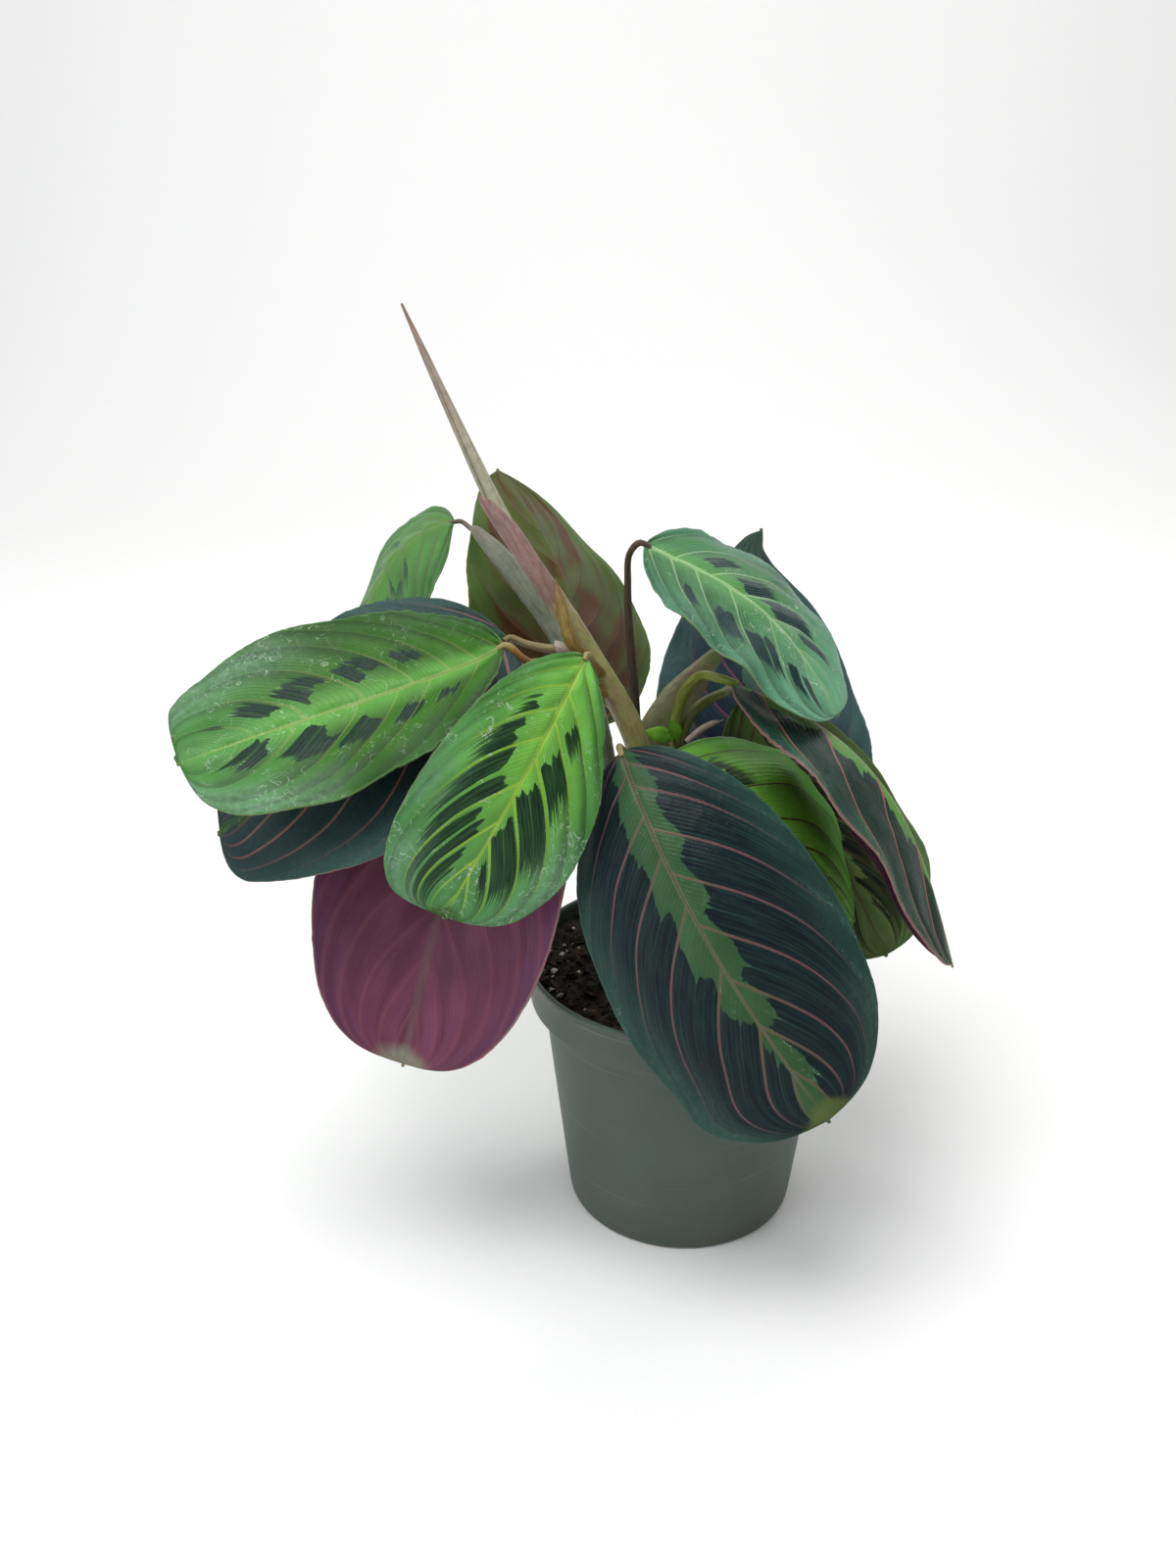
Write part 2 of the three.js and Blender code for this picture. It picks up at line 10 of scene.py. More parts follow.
import bpy
import numpy as np
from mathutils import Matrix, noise


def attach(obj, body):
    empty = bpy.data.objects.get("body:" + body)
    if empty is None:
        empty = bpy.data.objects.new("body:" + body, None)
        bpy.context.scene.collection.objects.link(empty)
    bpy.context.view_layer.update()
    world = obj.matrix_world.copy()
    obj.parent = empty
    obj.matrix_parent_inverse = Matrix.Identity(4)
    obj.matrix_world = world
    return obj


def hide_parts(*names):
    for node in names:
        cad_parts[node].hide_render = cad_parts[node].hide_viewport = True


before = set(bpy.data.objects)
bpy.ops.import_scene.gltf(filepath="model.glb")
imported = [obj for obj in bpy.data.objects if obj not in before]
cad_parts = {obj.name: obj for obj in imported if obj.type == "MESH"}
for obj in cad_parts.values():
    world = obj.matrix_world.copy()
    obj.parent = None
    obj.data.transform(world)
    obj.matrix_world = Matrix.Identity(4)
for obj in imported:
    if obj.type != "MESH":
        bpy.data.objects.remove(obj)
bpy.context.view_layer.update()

MM = 0.001
SEED = 11

# Blades

BLADE_THICKNESS = 0.5
BLADE_COLUMNS = 76
BLADE_ROWS = 104
WAVE_COUNT = 3

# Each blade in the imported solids' own terms: base and tip of the midrib, full width, tilt
# about the midrib (roll), arch (bow), slope (fold) and roundness (curl) of the left and
# right halves, place of the arch's top (peak), sideways swing (sway), twist, roundness of
# both ends, height of the margin waves, and lobes of either margin (half, place, reach,
# amount).
# The rest is the marking. Veins: where the side veins leave the midrib on each half, which
# slant near it by steep. Shift: how far the midrib lies off the middle. Inner and outer:
# where the dark pigment starts and ends across the half at the blade's base, and what it
# loses towards the tip. Span: the first and last place with pigment. Frill: waves of the
# margin near the base. Quilt: how far the skin bulges between veins. Ripe_tip: size of the
# yellow-green tip. Face and back: the two finishes. Blotches: for each half, the first and
# last place of each blotch, its inner edge at both and its outer edge at both. Feather: the
# edge of the green middle on each half, as places and distances.
EVEN_VEINS = (0.02, 0.09, 0.19, 0.3, 0.43, 0.57, 0.71, 0.84)
USUAL_BLADE = dict(
    curl=(0, 0), wave=1, lobes=(), veins=(EVEN_VEINS, EVEN_VEINS), steep=0, shift=0,
    span=(-1, 0.9), frill=0.3, quilt=1, ripe_tip=1.2)
BLADES = {
    "leaf_left_upper": dict(
        base=(-56.5, -14.8, 199.6), tip=(-148.3, -34, 171), width=63, roll=-35, bow=-6, fold=(9, 0),
        curl=(4, -3), peak=0.39, sway=3, twist=-9, ends=(0.51, 0.36), wave=1.2,
        lobes=((1, 0.5, 0.12, 1.5), (1, 0.86, 0.07, -1.8), (1, 0.985, 0.03, 3)),
        veins=((0.064, 0.21, 0.3, 0.416, 0.597, 0.751, 0.87),
        (0.075, 0.153, 0.257, 0.396, 0.559, 0.704, 0.83)), steep=0.1, frill=1.0, quilt=1.5,
        face="pale", back="green",
        blotches=(((0.1, 0.14, 0.33, 0.31, 0.4, 0.4), (0.185, 0.25, 0.31, 0.26, 0.42, 0.42),
        (0.31, 0.395, 0.31, 0.19, 0.47, 0.43), (0.43, 0.49, 0.29, 0.25, 0.43, 0.43),
        (0.49, 0.57, 0.19, 0.09, 0.42, 0.34), (0.62, 0.67, 0.24, 0.18, 0.38, 0.34),
        (0.67, 0.74, 0.12, 0.06, 0.34, 0.26)), ((0.175, 0.23, 0.31, 0.26, 0.47, 0.43),
        (0.27, 0.32, 0.31, 0.27, 0.47, 0.44), (0.325, 0.375, 0.24, 0.19, 0.44, 0.36),
        (0.41, 0.465, 0.33, 0.26, 0.42, 0.42), (0.475, 0.535, 0.23, 0.13, 0.4, 0.34),
        (0.575, 0.66, 0.21, 0.14, 0.37, 0.3), (0.69, 0.72, 0.27, 0.24, 0.35, 0.32)))),
    "leaf_front_centre": dict(
        base=(-32.6, -12.2, 195.8), tip=(-72.4, -54.6, 132.6), width=54, roll=-53, bow=16,
        fold=(-14, 11), curl=(-12, -2), peak=0.51, sway=1, twist=-2, ends=(0.63, 0.28),
        veins=((0.02, 0.151, 0.269, 0.408, 0.559, 0.711, 0.84),
        (0.036, 0.12, 0.22, 0.335, 0.51, 0.65, 0.78)), shift=0.05, frill=0.5, quilt=1.3,
        ripe_tip=4.5, face="fresh", back="green",
        blotches=(((0.155, 0.25, 0.36, 0.2, 0.5, 0.38), (0.275, 0.395, 0.26, 0.12, 0.54, 0.46),
        (0.415, 0.545, 0.17, 0.03, 0.62, 0.48), (0.57, 0.7, 0.1, 0.0, 0.52, 0.34),
        (0.73, 0.79, 0.09, 0.05, 0.26, 0.2)), ((0.15, 0.212, 0.36, 0.31, 0.5, 0.45),
        (0.227, 0.326, 0.36, 0.3, 0.62, 0.56), (0.345, 0.42, 0.27, 0.27, 0.62, 0.66),
        (0.425, 0.5, 0.22, 0.13, 0.66, 0.6), (0.52, 0.575, 0.22, 0.22, 0.66, 0.68),
        (0.58, 0.64, 0.17, 0.14, 0.66, 0.56), (0.665, 0.73, 0.2, 0.2, 0.44, 0.42)))),
    "leaf_left_lower": dict(
        base=(-56.4, 8.9, 194.4), tip=(-143.8, -17.3, 141.6), width=76, roll=-38, bow=11,
        fold=(9, 0), curl=(-6, -4), peak=0.47, sway=-6, twist=18, ends=(0.39, 0.45),
        lobes=((0, 0.95, 0.06, 2.5),), inner=(0.26, 0.2), outer=(0.92, 0), frill=0.5, face="dusky",
        back="maroon"),
    "leaf_front_right": dict(
        base=(-22.3, -20.5, 169.1), tip=(37.3, -70.2, 74.9), width=74, roll=56, bow=13,
        fold=(-8, -6), curl=(-25, -17), peak=0.39, sway=2, twist=-17, ends=(0.49, 0.38), wave=1.2,
        lobes=((1, 0.88, 0.07, 4), (0, 0.84, 0.1, 1.2)),
        veins=((0.022, 0.084, 0.192, 0.306, 0.438, 0.585, 0.714, 0.84),
        (-0.02, 0.049, 0.157, 0.261, 0.388, 0.552, 0.715, 0.85)), shift=0.03, outer=(1.02, 0),
        span=(-1, 0.84), frill=0.2, ripe_tip=6.5, face="dark", back="maroon",
        feather=(((0.05, 0.31), (0.1, 0.21), (0.15, 0.15), (0.18, 0.25), (0.21, 0.22), (0.26, 0.11),
        (0.29, 0.17), (0.33, 0.2), (0.38, 0.12), (0.4, 0.07), (0.43, 0.15), (0.5, 0.16),
        (0.57, 0.06), (0.58, 0.17), (0.63, 0.16), (0.67, 0.1), (0.71, 0.04), (0.74, 0.16)),
        ((0.0, 0.26), (0.09, 0.27), (0.13, 0.23), (0.16, 0.3), (0.22, 0.19), (0.26, 0.21),
        (0.31, 0.25), (0.35, 0.12), (0.4, 0.19), (0.46, 0.21), (0.53, 0.09), (0.56, 0.18),
        (0.61, 0.14), (0.7, 0.01), (0.73, 0.07), (0.77, 0.03)))),
    "leaf_low_left": dict(
        base=(-57.6, 8.5, 179.4), tip=(-88.6, -41.2, 74.1), width=74, roll=160, bow=-7,
        fold=(-13, -13), curl=(0, -2), peak=0.45, sway=0, twist=0, ends=(0.49, 0.42),
        inner=(0.26, 0.2), outer=(0.9, 0), span=(-1, 0.88), ripe_tip=7.5, face="dark", back="maroon"),
    "leaf_back_left": dict(
        base=(-77.7, 73.7, 215.2), tip=(-115, 47.8, 150.6), width=58, roll=18, bow=11,
        fold=(-22, -6), peak=0.34, sway=12, twist=6, ends=(0.33, 0.42), inner=(0.42, 0.25),
        outer=(0.58, 0.2), span=(0.14, 0.7), face="far_green", back="green"),
    "leaf_back_centre": dict(
        base=(-34.7, 49.2, 150.5), tip=(-64.4, 102.6, 227.6), width=78, roll=196, bow=-9,
        fold=(13, 7), peak=0.49, sway=-5, twist=13, ends=(0.43, 0.69),
        lobes=((0, 0.36, 0.12, 2.5), (0, 0.66, 0.1, -3.2)), inner=(0.3, 0.22), outer=(0.8, 0.1),
        span=(0.05, 0.8), face="fresh", back="olive"),
    "leaf_right_upper": dict(
        base=(-14.4, 21.4, 220.3), tip=(44.2, -0.9, 173), width=56, roll=18, bow=8, fold=(-7, 5),
        curl=(-19, -5), peak=0.52, sway=-5, twist=-11, ends=(0.52, 0.4), wave=1.3,
        lobes=((0, 0.12, 0.1, 2.2), (0, 0.43, 0.07, -2.5)),
        veins=((-0.03, 0.115, 0.265, 0.405, 0.55, 0.7, 0.84),
        (0.005, 0.098, 0.199, 0.346, 0.538, 0.74, 0.88)), shift=0.06, frill=0.5, quilt=1.5,
        face="pale_blue", back="green",
        blotches=(((0.17, 0.23, 0.22, 0.18, 0.44, 0.4), (0.3, 0.4, 0.17, 0.07, 0.4, 0.3),
        (0.43, 0.545, 0.14, 0.06, 0.4, 0.34), (0.575, 0.64, 0.17, 0.13, 0.38, 0.34)),
        ((0.11, 0.15, 0.43, 0.4, 0.6, 0.58), (0.21, 0.31, 0.5, 0.38, 0.66, 0.6),
        (0.35, 0.44, 0.46, 0.38, 0.62, 0.58), (0.44, 0.51, 0.36, 0.3, 0.56, 0.5),
        (0.565, 0.635, 0.34, 0.27, 0.48, 0.42), (0.645, 0.73, 0.27, 0.2, 0.42, 0.32)))),
    "leaf_back_right": dict(
        base=(33.9, 26.8, 120.6), tip=(29.4, 92.3, 208.8), width=75, roll=8, bow=-7, fold=(-1, -3),
        peak=0.47, sway=-3, twist=8, ends=(0.32, 0.75),
        lobes=((1, 0.91, 0.1, -9), (0, 0.88, 0.06, -2)), inner=(0.24, 0.18), outer=(0.85, 0),
        ripe_tip=15, face="blue", back="maroon"),
    "leaf_right_inner": dict(
        base=(-8.4, 5.8, 154.8), tip=(52.4, -9.8, 107.1), width=66, roll=14, bow=12, fold=(-4, 0),
        curl=(-2, -10), peak=0.48, sway=1, twist=-12, ends=(0.47, 0.48),
        veins=((-0.1, 0.04, 0.27, 0.466, 0.63, 0.78), (-0.1, 0.06, 0.25, 0.44, 0.61, 0.77)),
        inner=(0.24, 0.1), outer=(0.42, 0.2), span=(0.08, 0.26), frill=0.2, face="bright",
        back="green"),
    "leaf_right_folded": dict(
        base=(12.6, 8.2, 180.5), tip=(78.9, -31.6, 103.3), width=63, roll=-30, bow=17,
        fold=(-28, -26), peak=0.46, sway=2, twist=-4, ends=(0.49, 0.56),
        veins=((-0.12, 0.06, 0.24, 0.44, 0.66), (-0.12, 0.06, 0.24, 0.44, 0.66)),
        inner=(0.34, 0.34), outer=(0.95, 0), span=(-1, 0.88), frill=0.7, ripe_tip=4,
        face="red_veined", back="maroon"),
    "leaf_right_shaded": dict(
        base=(18.5, 36.3, 164.2), tip=(65, -4.4, 91), width=53, roll=30, bow=-4, fold=(2, 1),
        peak=0.44, sway=-4, twist=3, ends=(0.51, 0.44),
        lobes=((0, 0.78, 0.15, 3),), inner=(0.2, 0.1), outer=(0.6, 0.1), span=(0.3, 0.75),
        frill=0.2, face="shaded", back="green"),
}
BLADES = {name: USUAL_BLADE | leaf for name, leaf in BLADES.items()}
SOLID_PIGMENT = ("dark", "dusky", "red_veined", "blue")

# Edges of the pigment within one cell, from one side vein to the next: the inner one steps
# out behind a vein, peaks at the small vein halfway and falls back to the midrib.
CELL_PLACES = (0.0, 0.12, 0.4, 0.5, 0.56, 0.8, 1.0)
CELL_INNER = (0.85, 0.95, 1.05, 1.22, 1.0, 0.58, 0.34)
CELL_OUTER = (1.08, 1.06, 1.0, 1.06, 0.98, 0.86, 0.76)

# Half the midrib's width at the base and what it loses to the tip, and the size in
# millimetres of the map that a blade's streaks lie on.
RIB_HALF, RIB_TAPER = 0.85, 0.62
MAP_SIZE = 100


def lengths(vectors):
    return np.linalg.norm(vectors, axis=-1)


def unit(vectors):
    return vectors / np.linalg.norm(vectors, axis=-1, keepdims=True)


def blade_axes(leaf):
    """Chord, upward normal and side of a blade, turned about the chord by its roll."""
    chord = np.subtract(leaf["tip"], leaf["base"])
    along = unit(chord)
    normal = unit(np.array((0, 0, 1.0)) - along * along[2])
    side = np.cross(along, normal)
    roll = math.radians(leaf["roll"])
    turned = normal * math.cos(roll) + side * math.sin(roll)
    return chord, turned, side * math.cos(roll) - normal * math.sin(roll)


def midrib(leaf, s):
    """Points of the midrib: the chord, arched up and swung sideways."""
    chord, normal, side = blade_axes(leaf)
    q = math.log(0.5) / math.log(leaf["peak"])
    arch = leaf["bow"] * np.sin(math.pi * s ** q)
    swing = leaf["sway"] * np.sin(math.pi * s)
    return np.array(leaf["base"]) + np.outer(s, chord) + np.outer(arch, normal) + np.outer(swing, side)


def half_width(leaf, s, right):
    """Half the width along the blade: a rounded outline, fuller by the tip, and its lobes."""
    a, b = leaf["ends"]
    widest = a / (a + b)
    top = widest ** a * (1 - widest) ** b
    body = np.clip(s / 0.99, 0, 1)
    h = leaf["width"] / 2 * body ** a * (1 - body) ** b / top
    h += leaf["width"] * 0.02 * np.clip((1 - s) / 0.03, 0, 1) * np.clip(s / 0.2, 0, 1)
    for half, place, reach, amount in leaf["lobes"]:
        h = h + amount * np.exp(-((s - place) / reach) ** 2) * (right == bool(half))
    return np.maximum(h, np.where(s < 0.5, 1.0, 0.5))


def blade_points(leaf, s, t):
    """Points of the blade's middle surface, s along the midrib and t across it."""
    step = 1e-4
    tangent = unit(midrib(leaf, np.minimum(s + step, 1)) - midrib(leaf, np.maximum(s - step, 0)))
    normal = blade_axes(leaf)[1]
    normal = unit(normal - tangent * (tangent @ normal)[:, None])
    side = np.cross(tangent, normal)
    twist = (math.radians(leaf["twist"]) * (s - 0.5))[:, None]
    out = side * np.cos(twist) - normal * np.sin(twist)
    lift = normal * np.cos(twist) + side * np.sin(twist)
    right = t > 0
    fold = np.radians(np.where(right, leaf["fold"][1], leaf["fold"][0]))
    bend = np.radians(np.where(right, leaf["curl"][1], leaf["curl"][0])) / (leaf["width"] / 2)
    bend = np.where(np.abs(bend) < 1e-6, 1e-6, bend)
    d = np.abs(t) * half_width(leaf, s, right)
    x = (np.sin(fold + bend * d) - np.sin(fold)) / bend
    z = (np.cos(fold) - np.cos(fold + bend * d)) / bend
    ripple = np.sin(2 * math.pi * (WAVE_COUNT * s + 0.35 * right))
    z += leaf["wave"] * np.abs(t) ** 3 * ripple * np.sqrt(np.clip(np.sin(math.pi * s), 0, 1))
    return midrib(leaf, s) + out * (np.sign(t) * x)[:, None] + lift * z[:, None]


def vein_start(s, t, steep=0.0):
    """Where on the midrib the side vein through a place of the blade starts: veins sweep
    forward, most by the margin."""
    a = np.abs(t)
    s = s * (1 - steep * np.exp(-a / 0.1))
    return (s - 0.086 * a - 0.224 * a ** 4) / (1 + 0.612 * a + 0.453 * a ** 4)


def vein_phase(leaf, s, t, right):
    """Counts side veins: whole numbers lie on a vein, halves between two."""
    starts = np.array(leaf["veins"][right])
    steps = np.arange(1, 5)
    before = starts[0] - (starts[1] - starts[0]) * steps[::-1]
    after = starts[-1] + (starts[-1] - starts[-2]) * steps
    places = np.concatenate([before, starts, after])
    return np.interp(vein_start(s, t, leaf["steep"]), places, np.arange(len(places)) - 4.0)


def cell_size(leaf, s, t, right):
    """Millimetres between the side veins on both sides of a place."""
    e = 1e-3
    sign = 1 if right else -1
    after, before = np.clip(s + e, 0, 1), np.clip(s - e, 0, 1)
    ds = (blade_points(leaf, after, t) - blade_points(leaf, before, t)) / (after - before)[:, None]
    dt = (blade_points(leaf, s, t + sign * e) - blade_points(leaf, s, t - sign * e)) / (2 * e)
    a = np.abs(t)
    ps = (vein_phase(leaf, s + e, t, right) - vein_phase(leaf, s - e, t, right)) / (2 * e)
    pt = (vein_phase(leaf, s, a + e, right) - vein_phase(leaf, s, a - e, right)) / (2 * e)
    ss, st, tt = (ds * ds).sum(1), (ds * dt).sum(1), (dt * dt).sum(1)
    slope = (ps ** 2 * tt - 2 * ps * pt * st + pt ** 2 * ss) / np.maximum(ss * tt - st ** 2, 1e-6)
    return 1 / np.sqrt(np.clip(slope, 1e-4, None))


def marking(leaf, s, t, right):
    """The numbers that the blade's finishes read, for places on one half of it."""
    phase = vein_phase(leaf, s, t, right)
    pitch = cell_size(leaf, s, t, right)
    start = vein_start(s, t)
    h = half_width(leaf, s, right)
    a = np.abs(t)
    cell = phase - np.floor(phase)
    length = lengths(np.subtract(leaf["tip"], leaf["base"]))
    if "blotches" in leaf:
        spots = np.array(leaf["blotches"][right])
        places = spots[:, :2].ravel()
        inner_edge = np.interp(start, places, spots[:, 2:4].ravel())
        outer_edge = np.interp(start, places, spots[:, 4:].ravel())
        beside = np.max([np.minimum(start - low, high - start) for low, high in spots[:, :2]], axis=0)
        inner = np.minimum((a - inner_edge) * h, beside * length * 0.85)
    else:
        outer_edge = leaf["outer"][0] - leaf["outer"][1] * start
        outer_edge = outer_edge * np.interp(cell, CELL_PLACES, CELL_OUTER)
        if "feather" in leaf:
            inner_edge = np.interp(start, *np.array(leaf["feather"][right]).T)
        else:
            inner_edge = np.clip(leaf["inner"][0] - leaf["inner"][1] * start, 0.02, 1)
            inner_edge = inner_edge * np.interp(cell, CELL_PLACES, CELL_INNER)
        low, high = leaf["span"]
        inner = np.minimum((a - inner_edge) * h, np.minimum(start - low, high - start) * length * 0.5)
        if leaf["face"] not in SOLID_PIGMENT:
            inner = np.minimum(inner, np.minimum(cell - 0.03, 0.93 - cell) * pitch)
    return dict(
        phase=phase, place=s, pitch=np.clip(pitch, 1, 30), inner=inner, outer=(outer_edge - a) * h,
        rim=np.minimum((1 - a) * h, (1 - s) * length + 0.5), spread=a,
        rib=a * h - (RIB_HALF - RIB_TAPER * s),
        tip=np.hypot((1 - s) * length, a * h * 0.8) / leaf["ripe_tip"])


# Meshes

def alone(piece):
    bpy.ops.object.select_all(action="DESELECT")
    piece.select_set(True)
    bpy.context.view_layer.objects.active = piece


def corners(piece, name, values):
    """Keeps one number for each face corner, for the finishes to read."""
    layer = piece.data.attributes.new(name, "FLOAT", "CORNER")
    layer.data.foreach_set("value", np.asarray(values, np.float32))


def get_points(piece):
    flat = np.empty(len(piece.data.vertices) * 3)
    piece.data.vertices.foreach_get("co", flat)
    return flat.reshape(-1, 3)


def set_points(piece, points):
    piece.data.vertices.foreach_set("co", np.asarray(points, float).ravel())
    piece.data.update()


def grid_piece(name, columns, rows):
    """A grid primitive, with u across and v along it from 0 to 1 for each vertex."""
    bpy.ops.object.select_all(action="DESELECT")
    bpy.ops.mesh.primitive_grid_add(x_subdivisions=columns, y_subdivisions=rows, size=2)
    piece = bpy.context.object
    piece.name = piece.data.name = name
    flat = (get_points(piece) + 1) / 2
    return piece, flat[:, 0], flat[:, 1]


def corner_vertices(piece):
    index = np.empty(len(piece.data.loops), int)
    piece.data.loops.foreach_get("vertex_index", index)
    return index


def apply_modifier(piece, kind, **settings):
    alone(piece)
    modifier = piece.modifiers.new(kind.title(), kind)
    for key, value in settings.items():
        setattr(modifier, key, value)
    bpy.ops.object.modifier_apply(modifier=modifier.name)


def smooth(piece, degrees):
    alone(piece)
    bpy.ops.object.shade_smooth_by_angle(angle=math.radians(degrees))


def weld(piece):
    """Merges the seam of a formed grid, closes its open ends and turns faces outwards."""
    alone(piece)
    bpy.ops.object.mode_set(mode="EDIT")
    bpy.ops.mesh.select_all(action="SELECT")
    bpy.ops.mesh.remove_doubles(threshold=0.01 * MM)
    bpy.ops.mesh.select_all(action="DESELECT")
    bpy.ops.mesh.select_mode(type="EDGE")
    bpy.ops.mesh.select_non_manifold(extend=False)
    bpy.ops.mesh.edge_face_add()
    bpy.ops.mesh.select_all(action="SELECT")
    bpy.ops.mesh.normals_make_consistent(inside=False)
    bpy.ops.object.mode_set(mode="OBJECT")


def hand_over(piece, slot, *nodes):
    """The piece rides with the plant and stands for the nodes. Slot is not used."""
    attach(piece, "root")
    if nodes:
        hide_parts(*nodes)


def complete(piece, finish, slot, *nodes, degrees=50):
    """Gives a piece its finish, smooths it and hands it over."""
    piece.data.materials.append(finish)
    smooth(piece, degrees)
    hand_over(piece, slot, *nodes)


def noises(*coordinates):
    """Smooth noise at each place, from its three coordinates."""
    return np.array([noise.noise(place) for place in np.broadcast(*coordinates)])


def spread_over(places, values):
    """Reads evenly spaced values at places from 0 to 1."""
    return np.interp(places * (len(values) - 1), np.arange(len(values)), values)


# Relief of a blade in millimetres: bulges, cuts of the side veins and midrib, slow folds.
BULGE = 0.17
VEIN_CUT, VEIN_REACH = 0.25, 0.9
RIB_CUT, RIB_REACH = 0.45, 1.1
FOLD_HEIGHT = 0.5
FRILL_PLACE, TIP_FADE = 0.16, 0.05


def blade(name, leaf, face, back, index):
    """One blade: a formed grid with sunk veins, given its thickness and two faces."""
    piece, u, v = grid_piece(name.replace("leaf_", "blade_"), BLADE_COLUMNS, BLADE_ROWS)
    s = 0.5 * (1 - np.cos(math.pi * v))
    tau = np.round(2 * u - 1, 9)
    shift = leaf["shift"] * np.sqrt(np.clip(np.sin(math.pi * s), 0, 1))
    t = tau + shift * (1 - tau ** 2)
    along = s * lengths(np.subtract(leaf["tip"], leaf["base"]))
    points = blade_points(leaf, s, t)
    e, f = 1e-3, 0.02
    ds = blade_points(leaf, np.minimum(s + e, 1), t) - blade_points(leaf, np.maximum(s - e, 0), t)
    dt = blade_points(leaf, s, np.minimum(t + f, 1)) - blade_points(leaf, s, np.maximum(t - f, -1))
    normal = unit(np.cross(dt, ds))
    left_marks, right_marks = (marking(leaf, s, tau, right) for right in (False, True))
    is_right = tau > 0
    phase, pitch = (np.where(is_right, right_marks[key], left_marks[key]) for key in ("phase", "pitch"))

    # Relief: skin bulged between sunk veins, a sunk midrib, slow folds and a frilled margin.
    a = np.abs(tau)
    to_rib = a * half_width(leaf, s, is_right)
    to_vein = np.abs(phase - np.round(phase)) * pitch
    near_tip = np.clip((1 - s) / TIP_FADE, 0, 1)
    near_base = np.exp(-((s - FRILL_PLACE) / FRILL_PLACE) ** 2)
    fade = np.clip((1 - a) / 0.25, 0, 1) * np.clip(to_rib / 2, 0, 1) * np.clip((1 - s) / 0.1, 0, 1)
    rise = BULGE * leaf["quilt"] * (1 - np.cos(2 * math.pi * phase))
    relief = fade * (rise - VEIN_CUT * np.exp(-(to_vein / VEIN_REACH) ** 2))
    relief -= RIB_CUT * np.exp(-(to_rib / RIB_REACH) ** 2) * (1 - 0.6 * s)
    relief += FOLD_HEIGHT * fade * noises(along * 0.11, tau * 3.1, index * 7.3)
    crimp = noises(along * 0.55, index * 3.1, is_right * 5.0)
    relief += leaf["frill"] * crimp * a ** 6 * (0.25 + near_base) * near_tip
    scallop = noises(along * 0.4, 9.1, index * 2.7 + is_right * 4.0)
    jagged = np.sign(tau) * a ** 10 * scallop * near_tip * (0.25 + leaf["frill"] * near_base)
    set_points(piece, (points + normal * relief[:, None] + unit(dt) * jagged[:, None]) * MM)

    vertex = corner_vertices(piece)
    on_right = np.repeat(tau[vertex].reshape(-1, 4).mean(1) > 0, 4)
    for key, values in right_marks.items():
        corners(piece, key, np.where(on_right, values[vertex], left_marks[key][vertex]))
    corners(piece, "own", np.full(len(vertex), index * 3.7))
    streak_map = np.stack([along, tau * half_width(leaf, s, True)], axis=1) / MAP_SIZE
    place = piece.data.uv_layers[0]
    place.name = "blade"
    place.data.foreach_set("uv", streak_map[vertex].astype(np.float32).ravel())
    piece.data.materials.append(face)
    piece.data.materials.append(back)
    apply_modifier(piece, "SOLIDIFY", thickness=BLADE_THICKNESS * MM, offset=0,
                   material_offset=1, material_offset_rim=1)
    smooth(piece, 60)
    return piece


# Stalks

ROOT_Z = 68
ROOTS = {"main": (-10, 1.5), "back": (-22, 30), "brown": (-13, 17), "centre": (4, 18),
         "broad": (-4, 27.5), "right": (20, 22)}
FACING = (0.3, -1, 0.1)


def rooted(name):
    """The foot of a stalk, straight up out of the soil."""
    return [(*ROOTS[name], z) for z in (ROOT_Z, 80, 90)]


def blade_seat(name, reach=5, under=1.5):
    """Brings a stalk to a blade's base, from reach before it to a little under its midrib."""
    leaf = BLADES[name]
    ends = midrib(leaf, np.array((0.0199, 0.0201)))
    tangent = unit(ends[1] - ends[0])
    base = np.array(leaf["base"])
    return [tuple(base - tangent * reach), tuple(base + tangent * under)]


def smooth_path(points, count):
    """A centripetal curve through points, at even steps."""
    p = np.array(points, float)
    p = np.vstack([2 * p[0] - p[1], p, 2 * p[-1] - p[-2]])
    places = []
    w = np.linspace(0, 1, 60)[:, None]
    for i in range(1, len(p) - 2):
        a, b, c, d = p[i - 1], p[i], p[i + 1], p[i + 2]
        d0, d1, d2 = (lengths(x) ** 0.5 for x in (b - a, c - b, d - c))
        t1 = ((b - a) / d0 - (c - a) / (d0 + d1) + (c - b) / d1) * d1
        t2 = ((c - b) / d1 - (d - b) / (d1 + d2) + (d - c) / d2) * d1
        places.append(b + t1 * w + (-3 * b + 3 * c - 2 * t1 - t2) * w ** 2
                      + (2 * b - 2 * c + t1 + t2) * w ** 3)
    track = np.vstack([places[0]] + [x[1:] for x in places[1:]])
    run = np.concatenate([[0], np.cumsum(lengths(np.diff(track, axis=0)))])
    even = np.linspace(0, run[-1], count)
    return np.stack([np.interp(even, run, track[:, k]) for k in range(3)], axis=1), run[-1]


def frames_along(track, facing):
    """Two directions square to a track at each of its points, turned as little as can be."""
    side = np.array(facing, float)
    sides, across = [], []
    for row in unit(np.gradient(track, axis=0)):
        side = unit(side - row * (side @ row))
        sides.append(side)
        across.append(np.cross(row, side))
    return np.array(sides), np.array(across)


def toned(piece, tones):
    """Gives a stalk its place among its skin's colours, from its root to its end."""
    run = np.empty(len(piece.data.loops), np.float32)
    piece.data.attributes["run"].data.foreach_get("value", run)
    corners(piece, "tone", spread_over(run / run.max(), tones))
    return piece


def knuckle(run, to_end, angle, radius):
    """Swells the stalk under its blade, where it bends by day and night."""
    swell = 1 + 0.12 * np.exp(-((to_end - 4.5) / 2.2) ** 2)
    return radius * swell * (1 + 0.03 * np.sin(3 * angle + run * 0.2))


